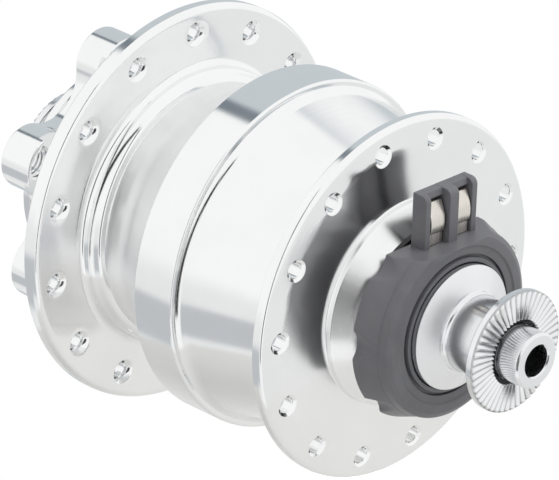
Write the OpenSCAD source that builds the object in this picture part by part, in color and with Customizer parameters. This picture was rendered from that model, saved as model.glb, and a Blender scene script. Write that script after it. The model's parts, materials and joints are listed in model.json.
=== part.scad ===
// Front wheel hub with a built-in dynamo and a six-bolt disc brake mount.
// The axle lies along Y, up is +Z, and the origin is the hub's centre on the axle's axis.
// The disc brake side is +Y (the bicycle's left), the electrical connector side is -Y.

/* [Axle] */
// Overall length of the hollow axle
axle_length = 108; // [106:0.5:112]
// Length of the axle's stub beyond each lock nut's face, which leaves the fork's dropout width
axle_stub = 4; // [3:0.5:5]
// Diameter of the bore for the quick release skewer
skewer_bore_d = 5.1; // [5:0.1:5.6]
// Diameter of the axle's threaded ends
thread_d = 9; // [8.8:0.1:9.6]
// Diameter of the axle where the bearings sit
seat_d = 15; // [14.6:0.1:15.2]
// Diameter of the axle under the stator
core_seat_d = 16; // [15.8:0.1:16.6]
// Diameter of the collar that the stator is clamped against
collar_d = 20; // [19.4:0.1:22]
// Width of the collar along the axle
collar_w = 2; // [1.5:0.1:3]
// Width of the slot that takes the two leads out under the bearing
lead_slot_w = 2.8; // [2.6:0.1:3.2]
// Height of the slot's floor above the axle's axis
lead_slot_floor = 5.4; // [5.2:0.05:5.7]

/* [Bearings] */
// Outer diameter of each ball bearing
bearing_d = 28; // [27.8:0.1:28.4]
// Width of each ball bearing
bearing_w = 7; // [6.5:0.1:7.2]
// Distance from the hub's centre to the inner side of the left bearing
left_bearing_y = 28; // [27.6:0.1:28.6]
// Distance from the hub's centre to the inner side of the right bearing
right_bearing_y = 23; // [22.8:0.1:23.3]
// Diameter of a bearing ball
ball_d = 3.8; // [3.6:0.1:4]
// Number of balls in each bearing
ball_count = 12; // [10:1:13]
// Wall of the inner race beside its groove
inner_race_t = 2.1; // [1.9:0.1:2.2]
// Wall of the outer race beside its groove
outer_race_t = 2.1; // [1.9:0.1:2.2]

/* [Shell] */
// Diameter of the raised band round the dynamo
drum_d = 57.6; // [57:0.2:59]
// Distance from the hub's centre to the band's left edge
drum_left_y = 3.6; // [3:0.1:4.2]
// Distance from the hub's centre to the band's right edge
drum_right_y = 4; // [3.6:0.1:4.4]
// Radius at the foot of the band's right shoulder
shoulder_foot_r = 27.2; // [26.9:0.1:27.6]
// Radius where the flared neck meets the band's left wall
flare_r = 27.2; // [26.8:0.1:27.6]
// Radius of the neck beside the left flange
neck_r = 21.4; // [21:0.1:22]
// Bore of the neck
neck_bore_r = 17.6; // [17:0.1:18.2]
// Radius of the raised ring round the neck
neck_ring_r = 23; // [22.8:0.1:23.6]
// Height of the raised ring above the left flange
neck_ring_h = 1.9; // [1.5:0.1:2.2]
// Radius of the turned groove between the raised ring and the neck
neck_groove_r = 20.4; // [20.1:0.1:20.8]

/* [Left flange] */
// Diameter of the left flange
left_flange_d = 66.4; // [65.6:0.2:68]
// Thickness of the left flange
left_flange_t = 3; // [2.6:0.1:3.4]
// Distance from the hub's centre to the left flange's inner face
left_flange_y = 21.3; // [21:0.1:21.8]
// Distance from the left flange's rim to the middle of its spoke holes
left_hole_inset = 4.2; // [4:0.1:4.4]

/* [Right flange] */
// Diameter of the right flange
right_flange_d = 59.6; // [59:0.2:61]
// Distance from the hub's centre to the right flange's inner face
right_flange_y = 22.6; // [22.4:0.1:22.8]
// Thickness of the right flange at its spoke holes
right_flange_t = 2.6; // [2.4:0.1:2.8]
// Thickness of the right flange's rim
right_rim_t = 1.6; // [1.4:0.1:1.9]
// Distance from the right flange's rim to the middle of its spoke holes
right_hole_inset = 3.8; // [3.6:0.1:4]
// Radius of the tapered barrel beside the right flange
barrel_r = 22.4; // [22.1:0.1:22.8]
// Diameter of the turned boss outside the right flange
boss_d = 34.2; // [33.8:0.1:34.8]
// Distance from the hub's centre to the boss's front face
boss_face_y = 31; // [30.8:0.1:31.1]
// Inner radius of the groove in the boss's front face
face_groove_r = 15; // [14.9:0.1:15.2]
// Width of the groove in the boss's front face
face_groove_w = 0.7; // [0.5:0.1:0.9]
// Depth of the groove in the boss's front face
face_groove_depth = 1; // [0.7:0.1:1.3]

/* [Spoke holes] */
// Number of spoke holes in each flange
spoke_holes = 14; // [12:1:16]
// Diameter of a spoke hole
spoke_hole_d = 2.6; // [2.4:0.1:2.8]
// Diameter of a spoke hole's countersink
spoke_sink_d = 4.2; // [3.8:0.1:4.6]

/* [Disc brake mount] */
// Distance from the left lock nut's face back to the rotor's seat
rotor_inset = 10.5; // [10:0.1:10.8]
// Diameter of the circle of the rotor's bolt holes
rotor_pcd = 44; // [43.6:0.1:44.4]
// Number of rotor bolts
rotor_bolts = 6; // [6:1:6]
// Nominal diameter of the rotor's bolt holes
rotor_hole_d = 5; // [4.8:0.1:5.2]
// Diameter of the spigot that centres the rotor
register_d = 34.9; // [34.8:0.1:35]
// Height of the spigot that centres the rotor
register_h = 1.6; // [1.2:0.1:1.8]
// Radius of the lugs' outer ends
lug_reach = 25.4; // [25.2:0.1:26]
// Radius of each lug's rounded end
lug_tip_r = 5.3; // [5:0.1:5.6]
// Thickness of the lugs along the axle
lug_t = 6.3; // [5.8:0.1:6.6]
// Depth of the turned recess behind the lugs
lug_recess = 1.3; // [1:0.1:1.6]
// Width of the rim left outside that recess
lug_rim_w = 1.4; // [1.2:0.1:1.6]

/* [Dynamo] */
// Distance of the dynamo's middle from the hub's centre, toward the connector
dynamo_offset = 1.5; // [1.2:0.1:1.8]
// Length of the steel flux ring
flux_ring_len = 20; // [19.4:0.1:20.6]
// Outer radius of the steel flux ring
flux_ring_r = 21.5; // [21.3:0.1:21.7]
// Wall of the steel flux ring
flux_ring_t = 1.8; // [1.6:0.1:2]
// Thickness of the magnets
magnet_t = 2.2; // [2:0.1:2.3]
// Length of the magnets
magnet_len = 18; // [17.5:0.1:18.5]
// Number of magnets, which is also the number of claws
pole_count = 28; // [24:2:30]
// Width of the air gap between the magnets and the claws
air_gap = 0.4; // [0.3:0.05:0.5]
// Thickness of the claws
claw_t = 1.6; // [1.4:0.1:1.7]
// Length of the stator
stator_len = 19.4; // [19:0.1:19.8]
// Thickness of the claw poles' plates
pole_plate_t = 1.8; // [1.6:0.1:2]
// Share of the room between the axle and the claws that the coil's steel sleeve takes
core_share = 0.21; // [0.18:0.01:0.24]
// Share of that room that each wall of the bobbin takes
bobbin_share = 0.12; // [0.09:0.01:0.13]
// Width of the nut that clamps the stator
stator_nut_w = 2.5; // [2:0.1:2.8]
// Radius of the nut that clamps the stator
stator_nut_r = 11.6; // [11.2:0.1:12]
// Radius of a lead's insulation
lead_r = 0.5; // [0.4:0.05:0.55]

/* [Connector cap] */
// Distance from the boss's front face to the cap's back
cap_gap = 0.5; // [0.4:0.05:0.6]
// Radius of the cap's back edge
cap_back_r = 17.05; // [16.8:0.05:17.3]
// Radius of the cap at its parting line
cap_mid_r = 15.55; // [15.4:0.05:15.7]
// Distance from the cap's back to its parting line
cap_mid_l = 4.1; // [3.9:0.1:4.2]
// Radius where the cap's front face begins
cap_front_r = 14.6; // [14.4:0.05:14.8]
// Overall length of the cap's body
cap_len = 6.1; // [6:0.05:6.2]
// Inner radius of the cap's front face
cap_face_r = 12.8; // [12.6:0.1:13]
// Inner radius of the shallow step in the cap's front
cap_step_r = 11.5; // [11.3:0.1:11.6]
// Inner radius of the groove in the cap's front
cap_groove_r = 10.95; // [10.85:0.05:11]
// Depth of the groove in the cap's front
cap_groove_depth = 0.9; // [0.7:0.1:1]
// Number of places round the cap for a grip notch
notch_places = 8; // [8:1:8]
// Radius of a grip notch
notch_r = 3.4; // [3:0.1:3.8]
// Radius from the axle's axis to the bottom of a grip notch
notch_floor_r = 15.8; // [15.65:0.05:15.95]
// Height of the connector's platform above the axle's axis
platform_z = 13.1; // [12.9:0.1:13.3]

/* [Connector] */
// Distance of the connector's middle from the hub's middle plane
socket_x = 0.8; // [0.5:0.1:1]
// Width of the connector across its outer fins
socket_w = 11.4; // [11:0.1:11.8]
// Height of the connector above the platform
socket_h = 8.8; // [8.4:0.1:9.2]
// Thickness of the connector's back plate
socket_back_t = 1; // [0.8:0.1:1.1]
// Depth of the two outer fins
fin_depth = 2.9; // [2.7:0.1:3]
// Depth of the middle fin
mid_fin_depth = 3.5; // [3.3:0.1:3.6]
// Thickness of the two outer fins
fin_t = 1.15; // [1:0.05:1.3]
// Thickness of the middle fin
mid_fin_t = 2; // [1.8:0.1:2.2]
// Height of the bar over the contacts
socket_bar_h = 1.2; // [1:0.1:1.4]
// Radius of the fins' front top corners
fin_corner_r = 1.2; // [0.8:0.1:1.4]
// Width of a contact blade
blade_w = 3; // [2.8:0.1:3.1]
// Thickness of a contact blade
blade_t = 0.35; // [0.3:0.05:0.4]
// How far a contact blade bulges forward
blade_bulge = 1.1; // [0.9:0.1:1.2]

/* [Lock nuts] */
// Radius of the serrated discs that the fork clamps
disc_r = 9.85; // [9.6:0.05:10]
// Thickness of a disc at its rim
disc_t = 1.3; // [1.1:0.1:1.5]
// Radius of a lock nut's neck
nut_neck_r = 6.2; // [6:0.1:6.5]
// Radius of a lock nut's cone where it meets the neck
cone_top_r = 6.75; // [6.6:0.05:6.9]
// Radius of a lock nut's rim
nut_rim_r = 10.15; // [10:0.05:10.2]
// Share of a lock nut's length that its rim takes
nut_rim_share = 0.155; // [0.14:0.005:0.17]
// Share of a lock nut's length that its cone takes
cone_share = 0.132; // [0.12:0.002:0.15]
// Number of serrations on a disc
serrations = 48; // [40:1:54]
// Height of a serration
serration_h = 0.4; // [0.3:0.05:0.5]
// Width of a serration
serration_w = 0.42; // [0.36:0.02:0.46]
// Width of a bearing spacer
spacer_w = 2; // [1.9:0.05:2.1]

/* [Hidden] */
$fn = 96;

eps = 0.05;
edge = 0.4;
nut_recess = 1.2;
bar_depth = 1.8;
fin_sink = 0.3;
fin_inset = 0.1;
thread_chamfer = 0.4;
thread_depth = 0.35;
seat_r = seat_d / 2;
thread_r = thread_d / 2;
core_seat_r = core_seat_d / 2;
bearing_r = bearing_d / 2;
ball_r = ball_d / 2;
pitch_r = (seat_r + bearing_r) / 2;
ball_clearance = 0.04;
cage_clearance = 0.35;
inner_race_r = seat_r + inner_race_t;
outer_race_r = bearing_r - outer_race_t;
race_lip = 1.4;

lock_width = axle_length - 2 * axle_stub;
lock_y = lock_width / 2;
rotor_y = lock_y - rotor_inset;
axle_end_y = axle_length / 2;
left_bearing_end = left_bearing_y + bearing_w;
right_bearing_end = right_bearing_y + bearing_w;
left_spacer_end = left_bearing_end + spacer_w;
right_spacer_end = right_bearing_end + spacer_w;

drum_r = drum_d / 2;
spigot_wall = 3.6;
spigot_r = drum_r - spigot_wall;
spigot_l = 4.4;
joint_y = drum_right_y + 0.3;
spigot_end_y = spigot_l - joint_y;
spigot_gap = 0.2;
seal_ring_y = spigot_end_y - 1.8;
seal_ring_w = 1.2;
seal_ring_t = 0.9;
barrel_end_y = right_flange_y - 0.7;

dynamo_y = -dynamo_offset;
flux_left_y = dynamo_y + flux_ring_len / 2;
flux_right_y = dynamo_y - flux_ring_len / 2;
magnet_r = flux_ring_r - flux_ring_t;
magnet_in_r = magnet_r - magnet_t;
magnet_fill = 0.95;
claw_r = magnet_in_r - air_gap;
claw_in_r = claw_r - claw_t;
claw_clearance = 0.4;
claw_root_part = 0.72;
claw_tip_part = 0.46;
claw_tip_gap = 0.6;
stator_left_y = dynamo_y + stator_len / 2;
stator_right_y = dynamo_y - stator_len / 2;
coil_room = claw_in_r - core_seat_r;
core_r = core_seat_r + core_share * coil_room;
bobbin_t = bobbin_share * coil_room;
bobbin_r = claw_in_r - 0.07 * coil_room;
coil_r = bobbin_r - 0.05 * coil_room;
stator_nut_y = stator_right_y - stator_nut_w;
spanner_slot_w = 3.2;
spanner_slots = 4;

left_flange_r = left_flange_d / 2;
right_flange_r = right_flange_d / 2;
left_flange_back = left_flange_y + left_flange_t;
left_pcd = left_flange_d - 2 * left_hole_inset;
right_pcd = right_flange_d - 2 * right_hole_inset;
hole_step = 360 / spoke_holes;
left_phase = 10.8;
right_phase = left_phase + hole_step / 2;
register_r = register_d / 2;
tube_r = register_r - 0.35;
lug_phase = 37;
lug_centre_r = lug_reach - lug_tip_r;
lug_back_y = rotor_y - lug_t;
bearing_lip = 1.4;
boss_r = boss_d / 2;
seal_t = 0.8;
seal_gap = 0.4;
seal_in_r = inner_race_r + seal_gap;
left_counter_r = bearing_r + 0.5;

cap_back_y = boss_face_y + cap_gap;
cap_front_y = cap_back_y + cap_len;
cap_seat_y = right_spacer_end;
nut_seat_y = cap_front_y - nut_recess;
seat_end_y = nut_seat_y - 0.2;
cap_pocket_end = cap_back_y + 2.7;
pocket_w = 9.4;
pocket_top_wall = 0.7;
channel_w = 3.2;
lead_x = 0.65;
lead_in_z = core_r + lead_r - 0.5;
lead_slot_z = lead_slot_floor + 0.3 + lead_r;
blade_y = cap_back_y + fin_inset + socket_back_t;
lead_y = blade_y + blade_t + lead_r;
lead_slot_start = stator_nut_y - 1.1;
blade_x = (mid_fin_t + (socket_w - mid_fin_t - 2 * fin_t) / 2) / 2;
blade_root_z = platform_z - 2.7;
socket_top = platform_z + socket_h;
nut_clearance = 0.15;
relief_w = 0.5;
relief_r = thread_r - thread_depth;

// A solid turned about the axle from points given as [radius, distance along the axle].
module turned(points)
    rotate([-90, 0, 0]) rotate_extrude() polygon(points);

// A plain ring between two radii and two places along the axle.
module ring(r_in, r_out, y_a, y_b)
    turned([[r_in, min(y_a, y_b)], [r_out, min(y_a, y_b)], [r_out, max(y_a, y_b)], [r_in, max(y_a, y_b)]]);

// Places a child at an angle about the axle, counted from +X toward +Z.
module at_angle(angle)
    rotate([0, -angle, 0]) children();

// A pin along the axle's direction at one radius, used for holes.
module pin_at(r, radius, y_a, y_b)
    translate([r, y_a, 0]) rotate([-90, 0, 0]) cylinder(r = radius, h = y_b - y_a, $fn = 32);

// Points of an arc, for turned and extruded outlines.
function arc(cx, cy, r, from, to, steps) =
    [for (i = [0 : steps]) let (a = from + (to - from) * i / steps) [cx + r * cos(a), cy + r * sin(a)]];

// Points mirrored to the connector side.
function mirrored(points) = [for (p = points) [p[0], -p[1]]];

// Drills one circle of spoke holes, with a countersink at each face.
module spoke_drill(pcd, phase, y_a, y_b) {
    sink = (spoke_sink_d - spoke_hole_d) / 2;
    for (i = [0 : spoke_holes - 1]) at_angle(phase + i * hole_step) {
        pin_at(pcd / 2, spoke_hole_d / 2, y_a - 1, y_b + 1);
        translate([pcd / 2, y_a - eps, 0]) rotate([-90, 0, 0])
            cylinder(r1 = spoke_sink_d / 2 + eps, r2 = spoke_hole_d / 2, h = sink + eps, $fn = 32);
        translate([pcd / 2, y_b - sink, 0]) rotate([-90, 0, 0])
            cylinder(r1 = spoke_hole_d / 2, r2 = spoke_sink_d / 2 + eps, h = sink + eps, $fn = 32);
    }
}

// The six-lug outline of the disc brake mount: round lug ends joined by tangent valley arcs.
module lug_outline() {
    half = 180 / rotor_bolts;
    reach = lug_centre_r * cos(half);
    valley_r = (pow(lug_tip_r, 2) - pow(tube_r, 2) - pow(lug_centre_r, 2)
        + 2 * tube_r * reach) / (2 * (tube_r - reach - lug_tip_r));
    valley_c = tube_r + valley_r;
    dx = valley_c * cos(half) - lug_centre_r;
    dy = valley_c * sin(half);
    k = lug_tip_r / norm([dx, dy]);
    touch = [lug_centre_r + dx * k, dy * k];
    union() {
        circle(r = tube_r);
        for (i = [0 : rotor_bolts - 1]) rotate(i * 2 * half) translate([lug_centre_r, 0])
            circle(r = lug_tip_r);
        difference() {
            polygon([for (i = [0 : rotor_bolts - 1], s = [-1, 1])
                let (a = i * 2 * half) [touch[0] * cos(a) - s * touch[1] * sin(a),
                    touch[0] * sin(a) + s * touch[1] * cos(a)]]);
            for (i = [0 : rotor_bolts - 1]) rotate(half + i * 2 * half) translate([valley_c, 0])
                circle(r = valley_r);
        }
    }
}

// The shell: left flange, raised ring, flared neck, band round the dynamo and the disc brake mount.
module hub_shell() color("gainsboro") {
    ring_y = left_flange_y - neck_ring_h;
    neck_y = ring_y - 1.5;
    wall_y = drum_left_y + 0.3;
    flare_steps = 12;
    inner_r = bearing_r - bearing_lip - 1;
    difference() {
        union() {
            turned(concat(
                [[inner_r, -joint_y], [drum_r - 0.3, -joint_y], [drum_r, -drum_right_y],
                 [drum_r, drum_left_y - edge], [drum_r - edge, drum_left_y], [flare_r + 0.4, wall_y]],
                [for (i = [0 : flare_steps]) let (t = i / flare_steps)
                    [neck_r + (flare_r - neck_r) * pow(1 - t, 1.7),
                     wall_y + 0.1 + (neck_y - wall_y - 0.1) * t]],
                [[neck_groove_r, neck_y + 0.4], [neck_groove_r, ring_y + 0.3], [neck_ring_r - 0.5, ring_y],
                 [neck_ring_r, ring_y + 0.3]],
                [for (i = [0 : 4]) let (a = i * 22.5, f = left_flange_y - ring_y - 0.3)
                    [neck_ring_r + f * (1 - cos(a)), ring_y + 0.3 + f * sin(a)]],
                [[left_flange_r - 0.8, left_flange_y], [left_flange_r - 0.25, left_flange_y + 0.5],
                 [left_flange_r, left_flange_y + 1.2], [left_flange_r, left_flange_back - 1],
                 [left_flange_r - 0.7, left_flange_back],
                 [register_r + 4, left_flange_back + 0.5],
                 [register_r + 1.4, left_flange_back + 1.2],
                 [register_r + 0.2, left_flange_back + 2.6], [tube_r, left_flange_back + 4],
                 [tube_r, rotor_y], [register_r, rotor_y],
                 [register_r, rotor_y + register_h - edge],
                 [register_r - edge, rotor_y + register_h], [inner_r, rotor_y + register_h]]));
            at_angle(lug_phase) translate([0, lug_back_y, 0]) rotate([-90, 0, 0])
                linear_extrude(lug_t) lug_outline();
        }
        ring(0, spigot_r, -joint_y - 1, spigot_end_y + spigot_gap);
        ring(0, flux_ring_r, 0, flux_left_y);
        turned([[0, flux_left_y - 1], [flux_ring_r - 1.5, flux_left_y - 1],
            [flux_ring_r - 1.5, flux_left_y + 1], [neck_bore_r, flux_left_y + 4],
            [neck_bore_r, left_bearing_y - 2.4], [bearing_r - bearing_lip, left_bearing_y - 1.6],
            [bearing_r - bearing_lip, left_bearing_y + 1], [0, left_bearing_y + 1]]);
        ring(0, bearing_r, left_bearing_y, left_bearing_end + 1);
        ring(0, left_counter_r, left_bearing_end, lock_y);
        at_angle(lug_phase) for (i = [0 : rotor_bolts - 1]) at_angle(i * 360 / rotor_bolts)
            pin_at(rotor_pcd / 2, rotor_hole_d / 2, lug_back_y - 1, rotor_y + 1);
        ring(register_r + 0.9, lug_reach - lug_rim_w, lug_back_y - 1, lug_back_y + lug_recess);
        spoke_drill(left_pcd, left_phase, left_flange_y, left_flange_back);
    }
}

// The right cover: a spigot in the shell, a tapered barrel, the right flange and the turned boss.
module right_cover() color("gainsboro") {
    root_y = right_flange_y + right_flange_t;
    boss_foot = root_y + 0.4;
    bead = 0.9;
    difference() {
        turned(mirrored(concat(
            [[flux_ring_r, -spigot_end_y], [spigot_r, -spigot_end_y], [spigot_r, joint_y],
             [shoulder_foot_r, joint_y], [shoulder_foot_r, joint_y + 0.2], [barrel_r, barrel_end_y - 0.6]],
            [for (i = [1 : 4]) let (a = i * 22.5, f = right_flange_y - barrel_end_y + 0.6)
                [barrel_r + f * (1 - cos(a)), barrel_end_y - 0.6 + f * sin(a)]],
            [[right_flange_r - 0.5, right_flange_y], [right_flange_r, right_flange_y + 0.4],
             [right_flange_r, right_flange_y + right_rim_t - 0.5],
             [right_flange_r - 0.75, right_flange_y + right_rim_t], [right_pcd / 2, root_y],
             [boss_r + bead + 0.6, boss_foot]],
            [for (i = [0 : 4]) let (a = i * 22.5)
                [boss_r + bead * (1 - sin(a)), boss_foot + bead * (1 - cos(a))]],
            [[boss_r - 0.2, boss_face_y - 1.4], [boss_r - 0.9, boss_face_y - 0.3],
             [face_groove_r + face_groove_w + 0.1, boss_face_y],
             [face_groove_r + face_groove_w, boss_face_y - face_groove_depth],
             [face_groove_r, boss_face_y - face_groove_depth], [face_groove_r, boss_face_y],
             [bearing_r, boss_face_y], [bearing_r, right_bearing_y],
             [bearing_r - bearing_lip, right_bearing_y], [bearing_r - bearing_lip, right_bearing_y - 1.7],
             [neck_bore_r, right_bearing_y - 2.6], [neck_bore_r, -flux_right_y + 2],
             [flux_ring_r - 1.5, -flux_right_y + 0.6], [flux_ring_r - 1.5, -flux_right_y],
             [flux_ring_r, -flux_right_y]])));
        ring(spigot_r - seal_ring_t, spigot_r + 1,
            seal_ring_y - seal_ring_w / 2, seal_ring_y + seal_ring_w / 2);
        spoke_drill(right_pcd, right_phase, -root_y, -right_flange_y);
    }
}

// The rubber ring that seals the cover's spigot in the shell.
module cover_seal_ring() color("dimgray")
    ring(spigot_r - seal_ring_t, spigot_r, seal_ring_y - seal_ring_w / 2, seal_ring_y + seal_ring_w / 2);

// The steel ring that carries the magnets.
module flux_ring() color("silver")
    ring(magnet_r, flux_ring_r, flux_right_y, flux_left_y);

// The curved magnets inside the flux ring, one for each pole.
module magnets() color("slategray") {
    step = 360 / pole_count;
    half = step * magnet_fill / 2;
    reach = magnet_r * 1.2;
    for (i = [0 : pole_count - 1]) at_angle(i * step) intersection() {
        ring(magnet_in_r, magnet_r, dynamo_y - magnet_len / 2, dynamo_y + magnet_len / 2);
        translate([0, dynamo_y - magnet_len, 0]) rotate([-90, 0, 0]) linear_extrude(2 * magnet_len)
            polygon([[0, 0], [reach * cos(half), -reach * sin(half)],
                [reach * cos(half), reach * sin(half)]]);
    }
}

// A bearing's inner race with its ball groove, with its inner side at y.
module inner_race(y) color("silver")
    difference() {
        ring(seat_r, inner_race_r, y, y + bearing_w);
        ball_groove(y);
    }

// A bearing's outer race with its ball groove.
module outer_race(y) color("silver")
    difference() {
        ring(outer_race_r, bearing_r, y, y + bearing_w);
        ball_groove(y);
    }

// The path that the balls leave free in both races.
module ball_groove(y)
    translate([0, y + bearing_w / 2, 0]) rotate([-90, 0, 0]) rotate_extrude()
        translate([pitch_r, 0]) circle(r = ball_r + ball_clearance, $fn = 32);

// One bearing's balls.
module balls(y) color("white")
    for (i = [0 : ball_count - 1]) at_angle(i * 360 / ball_count)
        translate([pitch_r, y + bearing_w / 2, 0]) sphere(r = ball_r, $fn = 32);

// The cage that spaces one bearing's balls.
module cage(y) color("saddlebrown") {
    half_w = ball_r + 0.5;
    mid = y + bearing_w / 2;
    difference() {
        ring(inner_race_r + cage_clearance, outer_race_r - cage_clearance, mid - half_w, mid + half_w);
        for (i = [0 : ball_count - 1]) at_angle(i * 360 / ball_count)
            translate([pitch_r - ball_r, mid, 0]) rotate([0, 90, 0])
                cylinder(r = ball_r + ball_clearance, h = ball_d, $fn = 32);
    }
}

module left_outer_race() outer_race(left_bearing_y);
module right_outer_race() outer_race(-right_bearing_end);
module left_inner_race() inner_race(left_bearing_y);
module right_inner_race() inner_race(-right_bearing_end);
module left_balls() balls(left_bearing_y);
module right_balls() balls(-right_bearing_end);
module left_cage() cage(left_bearing_y);
module right_cage() cage(-right_bearing_end);

// The rubber seals that turn with the shell beside the bearings.
module left_dust_seal() color("dimgray")
    ring(seal_in_r, left_counter_r, left_bearing_end, left_bearing_end + seal_t);
module right_dust_seal() color("dimgray")
    ring(seal_in_r, bearing_r, -right_bearing_end, -right_bearing_end - seal_t);

// The hollow axle with its bearing seats, stator seat, collar, lead slot and threaded ends.
module axle() color("silver")
    difference() {
        turned([[0, -axle_end_y], [relief_r, -axle_end_y], [thread_r, -axle_end_y + thread_chamfer],
            [thread_r, -lock_y - 0.1], [relief_r, -lock_y - 0.1], [relief_r, -lock_y + relief_w],
            [thread_r, -lock_y + relief_w], [thread_r, -seat_end_y], [seat_r, -seat_end_y],
            [seat_r, -right_bearing_y], [core_seat_r, -right_bearing_y], [core_seat_r, stator_left_y],
            [collar_d / 2, stator_left_y], [collar_d / 2, stator_left_y + collar_w],
            [inner_race_r - 0.7, stator_left_y + collar_w + 2], [inner_race_r - 0.7, left_bearing_y],
            [seat_r, left_bearing_y], [seat_r, left_spacer_end - 0.2], [thread_r, left_spacer_end - 0.2],
            [thread_r, lock_y - relief_w], [relief_r, lock_y - relief_w], [relief_r, lock_y + 0.1],
            [thread_r, lock_y + 0.1], [thread_r, axle_end_y - thread_chamfer], [relief_r, axle_end_y],
            [0, axle_end_y]]);
        translate([0, -axle_end_y - 1, 0]) rotate([-90, 0, 0])
            cylinder(d = skewer_bore_d, h = axle_length + 2, $fn = 64);
        translate([-lead_slot_w / 2, -cap_pocket_end, lead_slot_floor])
            cube([lead_slot_w, cap_pocket_end + lead_slot_start, core_seat_r]);
    }

// The spacers between the bearings and the parts that clamp them.
module left_spacer() color("silver")
    ring(seat_r, inner_race_r, left_bearing_end, left_spacer_end);
module right_spacer() color("silver")
    ring(seat_r, inner_race_r, -right_spacer_end, -right_bearing_end);

// One claw pole: a plate on the axle with fingers that reach over the coil.
// side is 1 for the pole on the disc brake side and -1 for the other.
module claw_pole(side) color("lightslategray") {
    claws = pole_count / 2;
    pitch = 2 * PI * claw_r / claws;
    root_w = pitch * claw_root_part / 2;
    tip_w = pitch * claw_tip_part / 2;
    plate_y = side > 0 ? stator_left_y : stator_right_y;
    tip_y = side > 0 ? stator_right_y + claw_tip_gap : stator_left_y - claw_tip_gap;
    phase = side > 0 ? 0 : 180 / claws;
    difference() {
        union() {
            ring(core_seat_r, claw_in_r - claw_clearance, plate_y, plate_y - side * pole_plate_t);
            intersection() {
                union() {
                    ring(claw_in_r, claw_r, plate_y, tip_y);
                    ring(claw_in_r - claw_clearance - eps, claw_r, plate_y, plate_y - side * pole_plate_t);
                }
                for (i = [0 : claws - 1]) at_angle(phase + i * 360 / claws) rotate([0, 90, 0])
                    linear_extrude(claw_r + 1)
                        polygon([[-root_w / 2, plate_y], [root_w / 2, plate_y], [tip_w / 2, tip_y],
                            [-tip_w / 2, tip_y]]);
            }
        }
        if (side < 0) translate([-spanner_slot_w / 2, stator_right_y - 1, 0])
            cube([spanner_slot_w, pole_plate_t + 2, lead_in_z + lead_r + 0.3]);
    }
}
module left_claw_pole() claw_pole(1);
module right_claw_pole() claw_pole(-1);

// The steel sleeve that carries the flux through the coil.
module core_sleeve() color("gray")
    ring(core_seat_r, core_r, stator_right_y + pole_plate_t, stator_left_y - pole_plate_t);

// The moulded bobbin of the coil.
module coil_bobbin() color("ivory") {
    y_a = stator_right_y + pole_plate_t;
    y_b = stator_left_y - pole_plate_t;
    turned([[core_r, y_a], [bobbin_r, y_a], [bobbin_r, y_a + bobbin_t], [core_r + bobbin_t, y_a + bobbin_t],
        [core_r + bobbin_t, y_b - bobbin_t], [bobbin_r, y_b - bobbin_t], [bobbin_r, y_b], [core_r, y_b]]);
}

// The copper winding, as the closed body that the wire fills.
module coil_winding() color("peru")
    ring(core_r + bobbin_t, coil_r, stator_right_y + pole_plate_t + bobbin_t,
        stator_left_y - pole_plate_t - bobbin_t);

// The round nut that clamps the stator against the axle's collar, with spanner slots.
module stator_nut() color("silver")
    difference() {
        ring(core_seat_r, stator_nut_r, stator_nut_y, stator_right_y);
        for (i = [0 : spanner_slots - 1]) at_angle(i * 360 / spanner_slots)
            translate([lead_in_z - lead_r - 0.3, stator_nut_y - 1, -spanner_slot_w / 2])
                cube([stator_nut_r, stator_nut_w + 2, spanner_slot_w]);
    }

// A round wire along a list of points, with a ball at each bend.
module wire(points, r) {
    for (i = [0 : len(points) - 2]) {
        d = points[i + 1] - points[i];
        translate(points[i])
            rotate([0, acos(d[2] / norm(d)), atan2(d[1], d[0])]) cylinder(r = r, h = norm(d), $fn = 16);
    }
    for (i = [1 : len(points) - 2]) translate(points[i]) sphere(r = r + 0.02, $fn = 16);
}

// The coil's two leads, which run out through the axle's slot to the contacts.
module lead_wires() color("firebrick")
    for (s = [-1, 1])
        wire([[s * lead_x, stator_right_y + pole_plate_t, lead_in_z],
            [s * lead_x, stator_nut_y - 0.6, lead_in_z], [s * lead_x, stator_nut_y - 4, lead_slot_z],
            [s * lead_x, -lead_y, lead_slot_z], [s * lead_x, -lead_y, seat_r + 1.4],
            [socket_x + s * blade_x, -lead_y, blade_root_z + lead_r]], lead_r);

// The side view of a connector fin, as [depth, height], with a round front top corner.
module fin_outline(depth) {
    r = fin_corner_r;
    union() {
        square([depth, socket_h - r + fin_sink]);
        square([depth - r, socket_h + fin_sink]);
        translate([depth - r, socket_h + fin_sink - r]) circle(r = r, $fn = 32);
    }
}

// One connector fin with its middle at x.
module fin(x, t, depth)
    translate([x - t / 2, -cap_back_y - fin_inset, platform_z - fin_sink]) rotate([90, 0, 90])
        linear_extrude(t) mirror([1, 0]) fin_outline(depth);

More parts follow.
